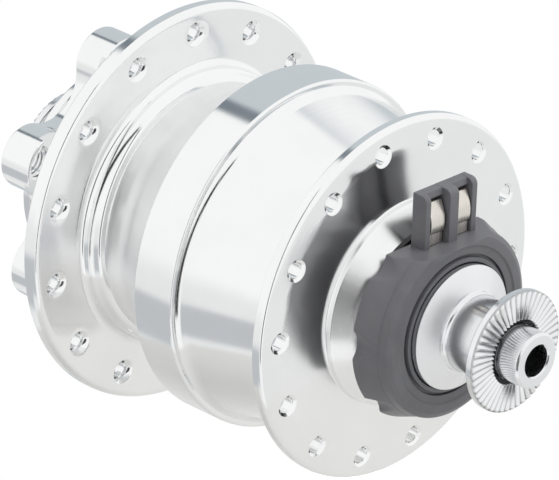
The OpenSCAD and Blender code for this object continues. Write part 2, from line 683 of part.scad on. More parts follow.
// The moulded cap: grip notches, recessed front, flat platform and the finned connector.
module connector_cap() color([0.37, 0.37, 0.38]) {
    difference() {
        union() {
            difference() {
                turned(mirrored(concat(
                    [[seat_r, cap_seat_y], [cap_step_r, cap_seat_y], [cap_step_r + 0.5, cap_back_y],
                     [cap_back_r, cap_back_y], [cap_mid_r + 0.04, cap_back_y + cap_mid_l],
                     [cap_mid_r - 0.04, cap_back_y + cap_mid_l]],
                    [for (i = [1 : 6]) let (a = i * 15, l = cap_len - 0.35 - cap_mid_l)
                        [cap_front_r + (cap_mid_r - cap_front_r) * cos(a),
                         cap_back_y + cap_mid_l + l * sin(a)]],
                    [[cap_face_r, cap_front_y], [cap_face_r - 0.05, cap_front_y - 0.25],
                     [cap_step_r, cap_front_y - 0.25], [cap_step_r, cap_front_y - cap_groove_depth],
                     [cap_groove_r, cap_front_y - cap_groove_depth], [cap_groove_r, cap_front_y],
                     [nut_rim_r + nut_clearance, cap_front_y], [nut_rim_r + nut_clearance, nut_seat_y],
                     [seat_r, nut_seat_y]])));
                translate([-cap_back_r, -cap_front_y - 1, platform_z])
                    cube([2 * cap_back_r, cap_len + 2, cap_back_r]);
                for (i = [1 : notch_places - 1]) at_angle(90 + i * 360 / notch_places)
                    pin_at(notch_floor_r + notch_r, notch_r, -cap_front_y - 1, -cap_back_y + 1);
            }
            fin(socket_x - (socket_w - fin_t) / 2, fin_t, fin_depth);
            fin(socket_x + (socket_w - fin_t) / 2, fin_t, fin_depth);
            fin(socket_x, mid_fin_t, mid_fin_depth);
            translate([socket_x - socket_w / 2, -blade_y, platform_z - fin_sink])
                cube([socket_w, socket_back_t, socket_h + fin_sink]);
            translate([socket_x - socket_w / 2, -cap_back_y - fin_inset - bar_depth,
                socket_top - socket_bar_h])
                cube([socket_w, bar_depth, socket_bar_h]);
        }
        translate([socket_x - pocket_w / 2, -cap_pocket_end, seat_r + 0.9])
            cube([pocket_w, cap_pocket_end - cap_back_y + 1,
                platform_z - pocket_top_wall - seat_r - 0.9]);
        translate([-channel_w / 2, -cap_pocket_end, 0])
            cube([channel_w, cap_pocket_end - cap_back_y + 1, platform_z - pocket_top_wall]);
        for (s = [-1, 1])
            translate([socket_x + s * blade_x - blade_w / 2, -blade_y - blade_t, blade_root_z])
                cube([blade_w, blade_t, platform_z]);
    }
}

// The middle line of a folded contact blade, as [forward, height]: up the back plate, over the top
// and down the front in a bulge that ends in a lip.
function blade_line() =
    let (top = socket_top - socket_bar_h - blade_t - 0.25, low = platform_z + 2.7, h = top - low)
    concat([[0, blade_root_z]], arc(0.35, top - 0.35, 0.35, 180, 60, 3),
        [for (i = [1 : 7]) let (t = i / 7)
            [0.5 + blade_bulge * sin(t * 75) / sin(75), top - 0.1 - (h - 0.5) * t]],
        [[blade_bulge + 0.2, low - 0.1]]);

// Offsets a line of points sideways by d, square to the mean of its neighbouring stretches.
function side_line(p, d) =
    [for (i = [0 : len(p) - 1])
        let (a = p[max(i - 1, 0)], b = p[min(i + 1, len(p) - 1)], v = (b - a) / norm(b - a))
        p[i] + d * [-v[1], v[0]]];

// The two folded contact blades, seated on the connector's back plate.
module contact_blades() color("tan") {
    line = blade_line();
    left = side_line(line, blade_t / 2);
    right = side_line(line, -blade_t / 2);
    n = len(line);
    for (s = [-1, 1]) translate([socket_x + s * blade_x - blade_w / 2, -blade_y - blade_t / 2, 0])
        rotate([90, 0, 90]) linear_extrude(blade_w) mirror([1, 0])
            polygon(concat(left, [for (i = [1 : n]) right[n - i]]));
}

// A lock nut, from its seat at y to the fork's face: rim, cone, neck and serrated disc.
module lock_nut(y) color("silver") {
    length = lock_y - y;
    cone_y = y + nut_rim_share * length;
    neck_y = cone_y + cone_share * length;
    disc_back = lock_y - serration_h - disc_t;
    root = 0.08 * length;
    flare = 0.11 * length;
    difference() {
        union() {
            turned(concat(
                [[thread_r, y], [nut_rim_r, y], [nut_rim_r, cone_y - 0.15], [nut_rim_r - 0.15, cone_y],
                 [cone_top_r, neck_y]],
                arc(nut_neck_r + root, neck_y + 0.15 + root, root, 225, 180, 3),
                arc(nut_neck_r + flare, disc_back - flare - 0.2, flare, 180, 110, 5),
                [[disc_r - 0.3, disc_back - 0.1], [disc_r, disc_back + 0.25],
                 [disc_r, lock_y - serration_h - 0.25], [disc_r - 0.25, lock_y - serration_h],
                 [thread_r, lock_y - serration_h]]));
            for (i = [0 : serrations - 1]) at_angle(i * 360 / serrations)
                translate([thread_r + 0.6, lock_y - serration_h - eps, -serration_w / 2])
                    cube([disc_r - thread_r - 0.9, serration_h + eps, serration_w]);
        }
        turned([[0, lock_y - 1.3], [thread_r + eps, lock_y - 1.3],
            [thread_r + 0.75, lock_y - serration_h - 0.3], [thread_r + 0.75, lock_y + 1], [0, lock_y + 1]]);
    }
}
module left_lock_nut() lock_nut(left_spacer_end);
module right_lock_nut() rotate([0, 0, 180]) lock_nut(nut_seat_y);

hub_shell();
right_cover();
cover_seal_ring();
flux_ring();
magnets();
left_outer_race();
right_outer_race();
left_dust_seal();
right_dust_seal();
axle();
left_inner_race();
right_inner_race();
left_spacer();
right_spacer();
left_claw_pole();
right_claw_pole();
core_sleeve();
coil_bobbin();
coil_winding();
stator_nut();
lead_wires();
connector_cap();
contact_blades();
left_lock_nut();
right_lock_nut();
left_balls();
left_cage();
right_balls();
right_cage();
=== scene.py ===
"""A front wheel hub dynamo with a disc brake mount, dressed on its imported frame.

Every size is in millimetres in the classes and becomes metres when a mesh is finished. The axle lies
along Y, +Z is up and the connector is on the -Y side. An outline is a row of (radius, place along the
axle), and a third number at a corner is the radius of its fillet.
"""

from __future__ import annotations

import json
import logging
import math
from dataclasses import dataclass, field
from enum import Enum
from typing import Callable, Sequence

import bmesh
import bpy
import numpy as np
from mathutils import Matrix, Vector

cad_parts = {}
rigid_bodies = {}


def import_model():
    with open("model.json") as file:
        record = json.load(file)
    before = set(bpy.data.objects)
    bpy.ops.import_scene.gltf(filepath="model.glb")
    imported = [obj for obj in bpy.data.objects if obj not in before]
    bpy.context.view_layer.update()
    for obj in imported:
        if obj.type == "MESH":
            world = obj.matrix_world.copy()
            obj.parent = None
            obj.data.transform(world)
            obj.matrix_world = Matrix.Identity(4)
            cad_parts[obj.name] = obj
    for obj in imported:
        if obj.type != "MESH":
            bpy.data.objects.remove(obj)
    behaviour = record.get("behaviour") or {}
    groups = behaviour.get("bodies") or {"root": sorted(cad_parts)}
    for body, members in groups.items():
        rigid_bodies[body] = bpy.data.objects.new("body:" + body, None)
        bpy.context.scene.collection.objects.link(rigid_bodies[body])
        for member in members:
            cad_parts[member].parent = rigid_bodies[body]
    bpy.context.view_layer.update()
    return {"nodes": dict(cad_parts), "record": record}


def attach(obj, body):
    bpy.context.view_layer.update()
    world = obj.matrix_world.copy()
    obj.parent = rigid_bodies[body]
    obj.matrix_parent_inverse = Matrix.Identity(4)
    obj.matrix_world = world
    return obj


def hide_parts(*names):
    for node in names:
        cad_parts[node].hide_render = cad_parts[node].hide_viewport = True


LOG = logging.getLogger("hub_dynamo")
MM = 0.001
MERGE = 0.002
SLIVER = 0.0005
WHITE = (1.0, 1.0, 1.0)

Colour = tuple[float, float, float]
Corner = Sequence[float]
Outline = list[tuple[float, float]]
Socket = bpy.types.NodeSocket
Object = bpy.types.Object
Mesh = bpy.types.Mesh
Shape = bmesh.types.BMesh


class Body(str, Enum):
    """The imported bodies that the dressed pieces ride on: one stands in the fork, one turns."""

    AXLE = "axle_assembly"
    HUB = "hub_assembly"


# Node trees


class Graph:
    """Short calls for building one node tree."""

    def __init__(self, tree: bpy.types.NodeTree) -> None:
        """Starts with an empty tree.

        Args:
            tree: The tree to fill.
        """
        self.tree = tree
        tree.nodes.clear()

    def node(self, kind: str, inputs: dict | None = None, **settings: object) -> bpy.types.Node:
        """Adds one node.

        Args:
            kind: The node's type name.
            inputs: Values or sockets for its inputs, by name or number.
            settings: Properties of the node itself.

        Returns:
            The new node.
        """
        made = self.tree.nodes.new(kind)
        for key, value in settings.items():
            setattr(made, key, value)
        for key, value in (inputs or {}).items():
            if isinstance(value, Socket):
                self.tree.links.new(value, made.inputs[key])
            else:
                made.inputs[key].default_value = value
        return made

    def math(self, operation: str, *values: float | Socket) -> Socket:
        """Adds a Math node.

        Args:
            operation: The operation's name.
            values: Its operands.

        Returns:
            The result's socket.
        """
        return self.node("ShaderNodeMath", dict(enumerate(values)), operation=operation).outputs[0]

    def step(self, value: Socket, low: float, high: float, start: float = 0.0, end: float = 1.0) -> Socket:
        """Maps a value smoothly from one range to another.

        Args:
            value: The value's socket.
            low: Where the change begins.
            high: Where the change ends.
            start: The result below low.
            end: The result above high.

        Returns:
            The result's socket.
        """
        inputs = {0: value, 1: low, 2: high, 3: start, 4: end}
        return self.node("ShaderNodeMapRange", inputs, interpolation_type="SMOOTHSTEP").outputs[0]

    def mix(self, factor: Socket, first: Colour | Socket, second: Colour | Socket) -> Socket:
        """Mixes two colours.

        Args:
            factor: How much of the second.
            first: The first colour.
            second: The second colour.

        Returns:
            The mixed colour's socket.
        """
        first, second = (c if isinstance(c, Socket) else (*c, 1.0) for c in (first, second))
        return self.node("ShaderNodeMix", {0: factor, 6: first, 7: second}, data_type="RGBA").outputs[2]

    def noise(self, place: Socket, scale: float, detail: float, roughness: float = 0.5) -> Socket:
        """Adds a noise texture.

        Args:
            place: Where it is looked up.
            scale: Its scale.
            detail: Its detail.
            roughness: Its roughness.

        Returns:
            The noise's value.
        """
        inputs = {"Vector": place, "Scale": scale, "Detail": detail, "Roughness": roughness}
        return self.node("ShaderNodeTexNoise", inputs).outputs[0]

    def bump(self, strength: float, distance: float, height: Socket, **more: Socket) -> Socket:
        """Adds a Bump node.

        Args:
            strength: Its strength.
            distance: Its distance in mm.
            height: The height's socket.
            more: Other inputs by name, such as the normal below it.

        Returns:
            The normal's socket.
        """
        inputs = {"Strength": strength, "Distance": distance * MM, "Height": height, **more}
        return self.node("ShaderNodeBump", inputs).outputs[0]


# Finishes


@dataclass(frozen=True)
class Finish:
    """What all finishes share: a name, the record's slot, and one material that is built once."""

    name: str
    slot: str
    colour: Colour
    roughness: float

    def surface(self, graph: Graph, place: Socket) -> dict[str, object]:
        """Builds the nodes of the finish's own surface.

        Args:
            graph: The material's graph.
            place: The object coordinates.

        Returns:
            Inputs for the Principled shader, by name.
        """
        raise NotImplementedError

    def shade(self, share: float) -> Colour:
        """The finish's colour, lighter or darker by a share."""
        return tuple(c * share for c in self.colour)

    def material(self) -> bpy.types.Material:
        """Finds the material, or builds it at its first use.

        Returns:
            The material, whose name no packed material has.
        """
        title = "finish_" + self.name
        material = bpy.data.materials.get(title)
        if material is None:
            material = bpy.data.materials.new(title)
            material.use_nodes = True
            graph = Graph(material.node_tree)
            place = graph.node("ShaderNodeTexCoord").outputs["Object"]
            shader = graph.node("ShaderNodeBsdfPrincipled", self.surface(graph, place))
            graph.node("ShaderNodeOutputMaterial", {0: shader.outputs[0]})
        return material


@dataclass(frozen=True)
class DullZone:
    """A stretch along the axle, out to one radius, whose metal is duller. Sizes are in mm."""

    low: float
    high: float
    reach: float
    extra: float
    soft: float = 0.3
    rim: float = 0.05

    def share(self, graph: Graph, radius: Socket, along: Socket) -> Socket:
        """How much the zone adds at one place.

        Args:
            graph: The material's graph.
            radius: The distance from the axle, in metres.
            along: The place along the axle, in metres.

        Returns:
            The zone's extra amount, fading at its borders.
        """
        soft, rim, reach = self.soft * MM, self.rim * MM, self.reach * MM
        begun = graph.step(along, self.low * MM - soft, self.low * MM + soft)
        left = graph.step(along, self.high * MM - soft, self.high * MM + soft, 1.0, 0.0)
        within = graph.step(radius, reach - rim, reach + rim, self.extra, 0.0)
        return graph.math("MULTIPLY", within, graph.math("MULTIPLY", begun, left))


@dataclass(frozen=True)
class TurnedMetal(Finish):
    """Bright metal from the lathe: soft mirror, fine turning lines and a slight handling haze.

    Sizes are in mm: line is the spacing of the turning lines, grain that of the etched surface. The
    zones are duller, and in the painted shade zones, on both sides of the hub, shade is painted into the
    colour.
    """

    line: float = 0.25
    line_depth: float = 0.1
    grain: float = 0.1
    grain_depth: float = 0.04
    haze: float = 0.04
    haze_scale: float = 90.0
    hazed: float = 0.965
    zones: tuple[DullZone, ...] = ()
    # Painted shade: the zones where shade is painted into the colour, and the dark colour it fades toward
    painted_shade: tuple[DullZone, ...] = ()
    painted_shade_colour: Colour = (0.12, 0.12, 0.125)

    def surface(self, graph: Graph, place: Socket) -> dict[str, object]:
        """Builds the lines, the grain, the haze and the zones.

        Args:
            graph: The material's graph.
            place: The object coordinates.

        Returns:
            Inputs for the Principled shader, by name.
        """
        x, along, z = graph.node("ShaderNodeSeparateXYZ", {0: place}).outputs
        squares = [graph.math("POWER", side, 2.0) for side in (x, z)]
        radius = graph.math("SQRT", graph.math("ADD", *squares))
        lathe = graph.node("ShaderNodeCombineXYZ", {0: radius, 1: along}).outputs[0]
        lines = graph.noise(lathe, 1 / (self.line * MM), 3.0, 0.65)
        grain = graph.noise(place, 1 / (self.grain * MM), 2.0)
        haze = graph.noise(place, self.haze_scale, 4.0, 0.6)
        ridges = graph.bump(self.line_depth, 0.1, lines)
        rough = graph.step(haze, 0.3, 0.75, self.roughness, self.roughness + self.haze)
        for zone in self.zones:
            rough = graph.math("ADD", rough, zone.share(graph, radius, along))
        colour = graph.mix(graph.step(haze, 0.35, 0.8), self.colour, self.shade(self.hazed))
        away = graph.math("ABSOLUTE", along)
        # Painted shade: within these zones the colour darkens toward the painted shade colour
        for zone in self.painted_shade:
            colour = graph.mix(zone.share(graph, radius, away), colour, self.painted_shade_colour)
        return {
            "Base Color": colour,
            "Metallic": 1.0,
            "Roughness": rough,
            "Normal": graph.bump(self.grain_depth, 0.05, grain, Normal=ridges),
        }


@dataclass(frozen=True)
class Moulded(Finish):
    """A moulded plastic or rubber: even colour, fine spark-eroded grain and a satin surface."""

    grain: float = 0.18
    grain_depth: float = 0.08
    mottle: float = 0.06
    mottle_scale: float = 260.0
    sheen: float = 0.04

    def surface(self, graph: Graph, place: Socket) -> dict[str, object]:
        """Builds the grain and the mottle.

        Args:
            graph: The material's graph.
            place: The object coordinates.

        Returns:
            Inputs for the Principled shader, by name.
        """
        grain = graph.noise(place, 1 / (self.grain * MM), 2.0)
        mottle = graph.noise(place, self.mottle_scale, 4.0)
        dark, light = self.shade(1 - self.mottle), self.shade(1 + self.mottle)
        smooth, rough = self.roughness - self.sheen, self.roughness + self.sheen
        return {
            "Base Color": graph.mix(graph.step(mottle, 0.35, 0.65), dark, light),
            "Roughness": graph.step(mottle, 0.3, 0.7, smooth, rough),
            "Normal": graph.bump(self.grain_depth, 0.08, grain),
        }


@dataclass(frozen=True)
class RolledSheet(Finish):
    """Plated spring sheet with rolling lines that run up and down the blade."""

    lines: Corner = (5000.0, 900.0, 350.0)
    line_depth: float = 0.05
    dulled: float = 0.93

    def surface(self, graph: Graph, place: Socket) -> dict[str, object]:
        """Builds the rolling lines.

        Args:
            graph: The material's graph.
            place: The object coordinates.

        Returns:
            Inputs for the Principled shader, by name.
        """
        stretched = graph.node("ShaderNodeMapping", {"Vector": place, "Scale": self.lines}).outputs[0]
        lines = graph.noise(stretched, 1.0, 3.0)
        return {
            "Base Color": graph.mix(graph.step(lines, 0.3, 0.7), self.shade(self.dulled), self.colour),
            "Metallic": 1.0,
            "Roughness": graph.step(lines, 0.3, 0.7, self.roughness - 0.05, self.roughness + 0.06),
            "Normal": graph.bump(self.line_depth, 0.05, lines),
        }


BRIGHT = (0.92, 0.925, 0.925)
NECK = DullZone(low=4.6, high=17.8, reach=27.1, extra=0.25, soft=0.2)
COVER_FACE = DullZone(low=-26.5, high=-25.1, reach=26.0, extra=0.1, soft=0.05)
COVER_BOSS = DullZone(low=-31.2, high=-26.85, reach=17.5, extra=0.12, soft=0.1)
RIGHT_CONE = DullZone(low=-40.3, high=-38.3, reach=10.3, extra=0.15, soft=0.1)
LEFT_CONE = DullZone(low=38.8, high=40.7, reach=10.3, extra=0.15, soft=0.1)
# Painted shade: darker colour in the grooves between the lock nut's teeth and in the gap where its face
# meets the axle
TOOTH_SHADE = DullZone(low=49.4, high=49.68, reach=9.95, extra=0.5, soft=0.12)
GAP_SHADE = DullZone(low=48.5, high=49.6, reach=5.3, extra=0.75, soft=0.1)

ALLOY = TurnedMetal(
    "polished_alloy", "polished_alloy", BRIGHT, 0.085, line=0.3, line_depth=0.03, zones=(NECK,)
)
TURNED = TurnedMetal(
    "turned_alloy",
    "turned_alloy",
    BRIGHT,
    0.085,
    line=0.2,
    line_depth=0.05,
    zones=(COVER_FACE, COVER_BOSS),
)
AXLE_STEEL = TurnedMetal(
    "axle_steel",
    "axle_steel",
    (0.86, 0.87, 0.88),
    0.15,
    line_depth=0.06,
    zones=(RIGHT_CONE, LEFT_CONE),
    # Shade painted into the lock nut's tooth grooves and its gap at the axle
    painted_shade=(TOOTH_SHADE, GAP_SHADE),
)
CAP_PLASTIC = Moulded("cap_plastic", "cap_plastic", (0.124, 0.124, 0.134), 0.4)
CONTACT = RolledSheet("nickel_contact", "contact_metal", (0.8, 0.76, 0.7), 0.28)
FINISHES = (
    ALLOY,
    TURNED,
    AXLE_STEEL,
    CAP_PLASTIC,
    CONTACT,
    TurnedMetal("core_steel", "steel", (0.42, 0.42, 0.43), 0.35, line=0.3),
    TurnedMetal("race_steel", "bearing_steel", (0.66, 0.67, 0.69), 0.12, line=0.2, line_depth=0.04),
    Moulded("sintered_magnet", "magnet", (0.09, 0.09, 0.1), 0.5),
    Moulded("black_rubber", "rubber", (0.022, 0.022, 0.023), 0.55),
    Moulded("natural_nylon", "bobbin_plastic", (0.72, 0.69, 0.6), 0.45),
    Moulded("cage_nylon", "cage_plastic", (0.22, 0.1, 0.05), 0.45),
    Moulded("lead_insulation", "lead_insulation", (0.4, 0.03, 0.02), 0.3),
    RolledSheet("copper_winding", "copper", (0.75, 0.34, 0.16), 0.3),
)


# Outlines and meshes, all in millimetres


def rounded(corners: Sequence[Corner], steps: int = 5) -> Outline:
    """Rounds the corners of an open outline.

    Args:
        corners: Points as (radius, place along the axle) or with a third number, the fillet's radius.
        steps: How many facets a fillet has.

    Returns:
        The points of the rounded outline.
    """
    straight, share = 1.56, 0.999
    places = [np.array(corner[:2], float) for corner in corners]
    cuts, halves = [], []
    for index, corner in enumerate(corners):
        fillet = corner[2] if len(corner) > 2 and 0 < index < len(corners) - 1 else 0.0
        half = math.pi / 2
        if fillet > 0:
            back = places[index - 1] - places[index]
            ahead = places[index + 1] - places[index]
            cosine = back @ ahead / (np.linalg.norm(back) * np.linalg.norm(ahead))
            half = math.acos(max(-1.0, min(1.0, cosine))) / 2
        cuts.append(fillet / math.tan(half) if fillet > 0 and half < straight else 0.0)
        halves.append(half)
    for index in range(len(places) - 1):
        room = np.linalg.norm(places[index + 1] - places[index]) * share
        need = cuts[index] + cuts[index + 1]
        if need > room:
            cuts[index] *= room / need
            cuts[index + 1] *= room / need
    done: Outline = []
    for index, (place, trim, half) in enumerate(zip(places, cuts, halves)):
        if trim <= 0:
            done.append((float(place[0]), float(place[1])))
            continue
        back = places[index - 1] - place
        back /= np.linalg.norm(back)
        ahead = places[index + 1] - place
        ahead /= np.linalg.norm(ahead)
        centre = (back + ahead) / np.linalg.norm(back + ahead) * trim / math.cos(half)
        start, end = back * trim - centre, ahead * trim - centre
        sweep = math.pi - 2 * half
        for step in range(steps + 1):
            part = step / steps
            swung = (start * math.sin((1 - part) * sweep) + end * math.sin(part * sweep)) / math.sin(sweep)
            point = place + centre + swung
            done.append((float(point[0]), float(point[1])))
    return done


def rounded_ring(corners: Sequence[Corner], steps: int = 4) -> Outline:
    """Rounds every corner of a closed outline.

    Args:
        corners: Points as (first, second, fillet), counter-clockwise.
        steps: How many facets a fillet has.

    Returns:
        The points of the closed outline.
    """
    return rounded([corners[-1], *corners, corners[0]], steps)[1:-1]


@dataclass(frozen=True)
class Arc:
    """An arc of an outline between two surface normals, in degrees from -Y outward.

    The centre is (radius, place along the axle), and the radius is negative where the surface is hollow.
    """

    centre: tuple[float, float]
    radius: float
    start: float
    stop: float
    steps: int = 10

    def points(self) -> Outline:
        """The arc's points.

        Returns:
            One point for each step's end.
        """
        normals = np.radians(np.linspace(self.start, self.stop, self.steps + 1))
        out, along = self.centre
        return [(out + self.radius * math.sin(n), along - self.radius * math.cos(n)) for n in normals]


def spun(r: float, y: float, angle: float) -> Corner:
    """The point at a radius, a place along the axle and an angle from +X toward +Z."""
    return (r * math.cos(angle), y, r * math.sin(angle))


def whole_turn(count: int) -> np.ndarray:
    """Evenly spaced angles round a whole turn."""
    return np.linspace(0, 2 * math.pi, count, endpoint=False)


def bridge(shape: Shape, rows: Sequence[Sequence[bmesh.types.BMVert]], full: bool = False) -> None:
    """Puts faces between rows of equally many corners.

    Args:
        shape: The mesh that receives the faces.
        rows: The rows, in order.
        full: Whether the last row joins the first.
    """
    for near, far in zip(rows, rows[1:] + (rows[:1] if full else [])):
        for index in range(len(near) - 1):
            shape.faces.new((near[index], near[index + 1], far[index + 1], far[index]))


def turn(shape: Shape, outline: Outline, angles: Sequence[float], full: bool = False) -> None:
    """Sweeps an open outline round the axle.

    Args:
        shape: The mesh that receives the surface.
        outline: Points as (radius, place along the axle).
        angles: The turned steps, in radians from +X toward +Z.
        full: Whether the last step joins the first.
    """
    rows = [[shape.verts.new(spun(r, y, angle)) for r, y in outline] for angle in angles]
    bridge(shape, rows, full)


def skin(shape: Shape, loops: Sequence[Sequence[Corner]], caps: bool = False) -> None:
    """Covers a row of closed loops that have equally many points.

    Args:
        shape: The mesh that receives the surface.
        loops: The loops, in order.
        caps: Whether the first and the last loop are closed with a face.
    """
    rows = [[shape.verts.new(point) for point in loop] for loop in loops]
    bridge(shape, [row + row[:1] for row in rows])
    if caps:
        shape.faces.new(rows[0])
        shape.faces.new(rows[-1])


def inset(outline: Outline, depth: float) -> Outline:
    """Moves a closed outline inwards.

    Args:
        outline: Points that run counter-clockwise.
        depth: How far each edge moves.

    Returns:
        The smaller outline, with equally many points.
    """
    sharpest = 0.3
    points = np.array(outline)
    edges = np.roll(points, -1, axis=0) - points
    edges /= np.linalg.norm(edges, axis=1)[:, None]
    inward = np.stack((-edges[:, 1], edges[:, 0]), axis=1)
    mean = inward + np.roll(inward, 1, axis=0)
    length = np.maximum(np.sum(mean * inward, axis=1), sharpest)
    moved = points + mean / length[:, None] * depth
    return [(float(a), float(b)) for a, b in moved]


def plate_levels(low: float, high: float, edge: float, steps: int = 3) -> Outline:
    """Lists the levels of a plate with rounded edges.

    Args:
        low: Where the plate begins.
        high: Where it ends.
        edge: The radius of its edges.
        steps: How many facets an edge has.

    Returns:
        Levels as (depth inside the outline, place across the plate).
    """
    turns = [math.pi / 2 * step / steps for step in range(steps + 1)]
    levels = [(edge * (1 - math.sin(a)), low + edge * (1 - math.cos(a))) for a in turns]
    return levels + [(depth, high - (across - low)) for depth, across in reversed(levels)]


def slab(
    shape: Shape, outline: Outline, span: tuple[float, float], edge: float, place: Callable, steps: int = 3
) -> None:
    """Adds a plate with rounded edges.

    Args:
        shape: The mesh that receives it.
        outline: Its outline, counter-clockwise.
        span: Where the plate begins and ends across its outline.
        edge: The radius of its edges.
        place: Turns (first, second, across) into a point in the shared frame.
        steps: How many facets an edge has.
    """
    loops = [
        [place(a, b, across) for a, b in inset(outline, depth)]
        for depth, across in plate_levels(*span, edge, steps)
    ]
    skin(shape, loops, caps=True)


def in_scene(name: str, data: bpy.types.ID) -> Object:
    """Puts a mesh, a camera or a light on an object in the scene.

    Args:
        name: The object's name.
        data: What it holds.

    Returns:
        The object.
    """
    made = bpy.data.objects.new(name, data)
    bpy.context.scene.collection.objects.link(made)
    return made


def settled(shape: Shape) -> Mesh:
    """Turns a shape's faces outwards and makes it a mesh.

    Args:
        shape: The shape, which is freed.

    Returns:
        The mesh.
    """
    bmesh.ops.recalc_face_normals(shape, faces=shape.faces)
    mesh = bpy.data.meshes.new("work")
    shape.to_mesh(mesh)
    shape.free()
    return mesh


def metric(shape: Shape) -> Mesh:
    """Makes a mesh in metres from a shape in mm, with its doubles merged.

    Args:
        shape: The shape, which is freed.

    Returns:
        The mesh.
    """
    bmesh.ops.remove_doubles(shape, verts=shape.verts, dist=MERGE)
    bmesh.ops.dissolve_degenerate(shape, edges=shape.edges, dist=SLIVER)
    mesh = settled(shape)
    mesh.transform(Matrix.Scale(MM, 4))
    return mesh


def joined(*meshes: Mesh) -> Mesh:
    """Puts meshes in one and merges their doubles.

    Args:
        meshes: The meshes, in metres.

    Returns:
        The new mesh.
    """
    shape = bmesh.new()
    for mesh in meshes:
        shape.from_mesh(mesh)
    bmesh.ops.remove_doubles(shape, verts=shape.verts, dist=MERGE * MM)
    return settled(shape)


def plain(carrier: Object) -> Mesh:
    """Turns an object with its modifiers into a plain mesh.

    Args:
        carrier: The object, which is removed.

    Returns:
        The mesh.
    """
    bpy.context.view_layer.update()
    graph = bpy.context.evaluated_depsgraph_get()
    mesh = bpy.data.meshes.new_from_object(
        carrier.evaluated_get(graph), preserve_all_data_layers=True, depsgraph=graph
    )
    bpy.data.objects.remove(carrier)
    return mesh


def cut(body: Mesh, tool: Mesh) -> Mesh:
    """Takes one closed mesh away from another.

    Args:
        body: The mesh that is cut.
        tool: The mesh that is taken away.

    Returns:
        The cut mesh.
    """
    holder, cutter = in_scene("cut_body", body), in_scene("cut_tool", tool)
    knife = holder.modifiers.new("cut", "BOOLEAN")
    knife.operation, knife.solver, knife.object = "DIFFERENCE", "EXACT", cutter
    done = plain(holder)
    bpy.data.objects.remove(cutter)
    return done


@dataclass(frozen=True)
class RadialRow:
    """A Geometry Nodes tree that repeats one sector round the axle."""

    count: int
    phase: float = 0.0

    def tree(self) -> bpy.types.GeometryNodeTree:
        """Builds the tree, with inputs for the sector, its count, the first angle and the material.

        Returns:
            The tree.
        """
        tree = bpy.data.node_groups.new("radial_row", "GeometryNodeTree")
        for name, way, kind in (
            ("Geometry", "INPUT", "Geometry"),
            ("Sector", "INPUT", "Object"),
            ("Count", "INPUT", "Int"),
            ("First Angle", "INPUT", "Float"),
            ("Material", "INPUT", "Material"),
            ("Geometry", "OUTPUT", "Geometry"),
        ):
            tree.interface.new_socket(name=name, in_out=way, socket_type="NodeSocket" + kind)
        graph = Graph(tree)
        given = graph.node("NodeGroupInput").outputs
        sector = graph.node("GeometryNodeObjectInfo", {"Object": given["Sector"]}).outputs["Geometry"]
        index = graph.node("GeometryNodeInputIndex").outputs[0]
        step = graph.math("DIVIDE", 2 * math.pi, given["Count"])
        angle = graph.math("ADD", graph.math("MULTIPLY", index, step), given["First Angle"])
        turned = graph.node("ShaderNodeCombineXYZ", {1: graph.math("MULTIPLY", angle, -1.0)})
        made = graph.node("GeometryNodePoints", {"Count": given["Count"]})
        for kind, inputs in (
            ("GeometryNodeInstanceOnPoints", {"Instance": sector, "Rotation": turned.outputs[0]}),
            ("GeometryNodeRealizeInstances", {}),
            ("GeometryNodeMergeByDistance", {"Distance": MERGE * MM}),
            ("GeometryNodeSetMaterial", {"Material": given["Material"]}),
            ("NodeGroupOutput", {}),
        ):
            made = graph.node(kind, {0: made.outputs[0], **inputs})
        return tree

    def build(self, sector: Shape, finish: Finish) -> Mesh:
        """Repeats a sector.

        Args:
            sector: The sector's shape in mm, which is freed.
            finish: The finish of the result.

        Returns:
            The whole ring as a plain mesh.
        """
        pattern = in_scene("sector", metric(sector))
        carrier = in_scene("row", bpy.data.meshes.new("row"))
        row = carrier.modifiers.new("row", "NODES")
        row.node_group = self.tree()
        values = {
            "Sector": pattern,
            "Count": self.count,
            "First Angle": math.radians(self.phase),
            "Material": finish.material(),
        }
        for item in row.node_group.interface.items_tree:
            if item.in_out == "INPUT" and item.name in values:
                row[item.identifier] = values[item.name]
        done = plain(carrier)
        bpy.data.objects.remove(pattern)
        return done


# Pieces


class Piece:
    """A piece of the model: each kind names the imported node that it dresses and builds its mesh."""

    node: str
    body: Body = Body.AXLE
    finish: Finish = AXLE_STEEL
    sharp: float = 30.0

    def mesh(self) -> Mesh:
        """The piece's mesh in metres."""
        raise NotImplementedError

    def build(self) -> Object:
        """Returns:
            The piece.
        """
        name, mesh = "dressed_" + self.node, self.mesh()
        mesh.shade_smooth()
        mesh.set_sharp_from_angle(angle=math.radians(self.sharp))
        carrier = in_scene(name + "_maker", mesh)
        weighted = carrier.modifiers.new("even_normals", "WEIGHTED_NORMAL")
        weighted.keep_sharp = True
        done = plain(carrier)
        done.name = name
        done.materials.clear()
        done.materials.append(self.finish.material())
        piece = in_scene(name, done)
        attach(piece, self.body.value)
        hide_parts(self.node)
        LOG.info("%s: %d faces", name, len(done.polygons))
        return piece


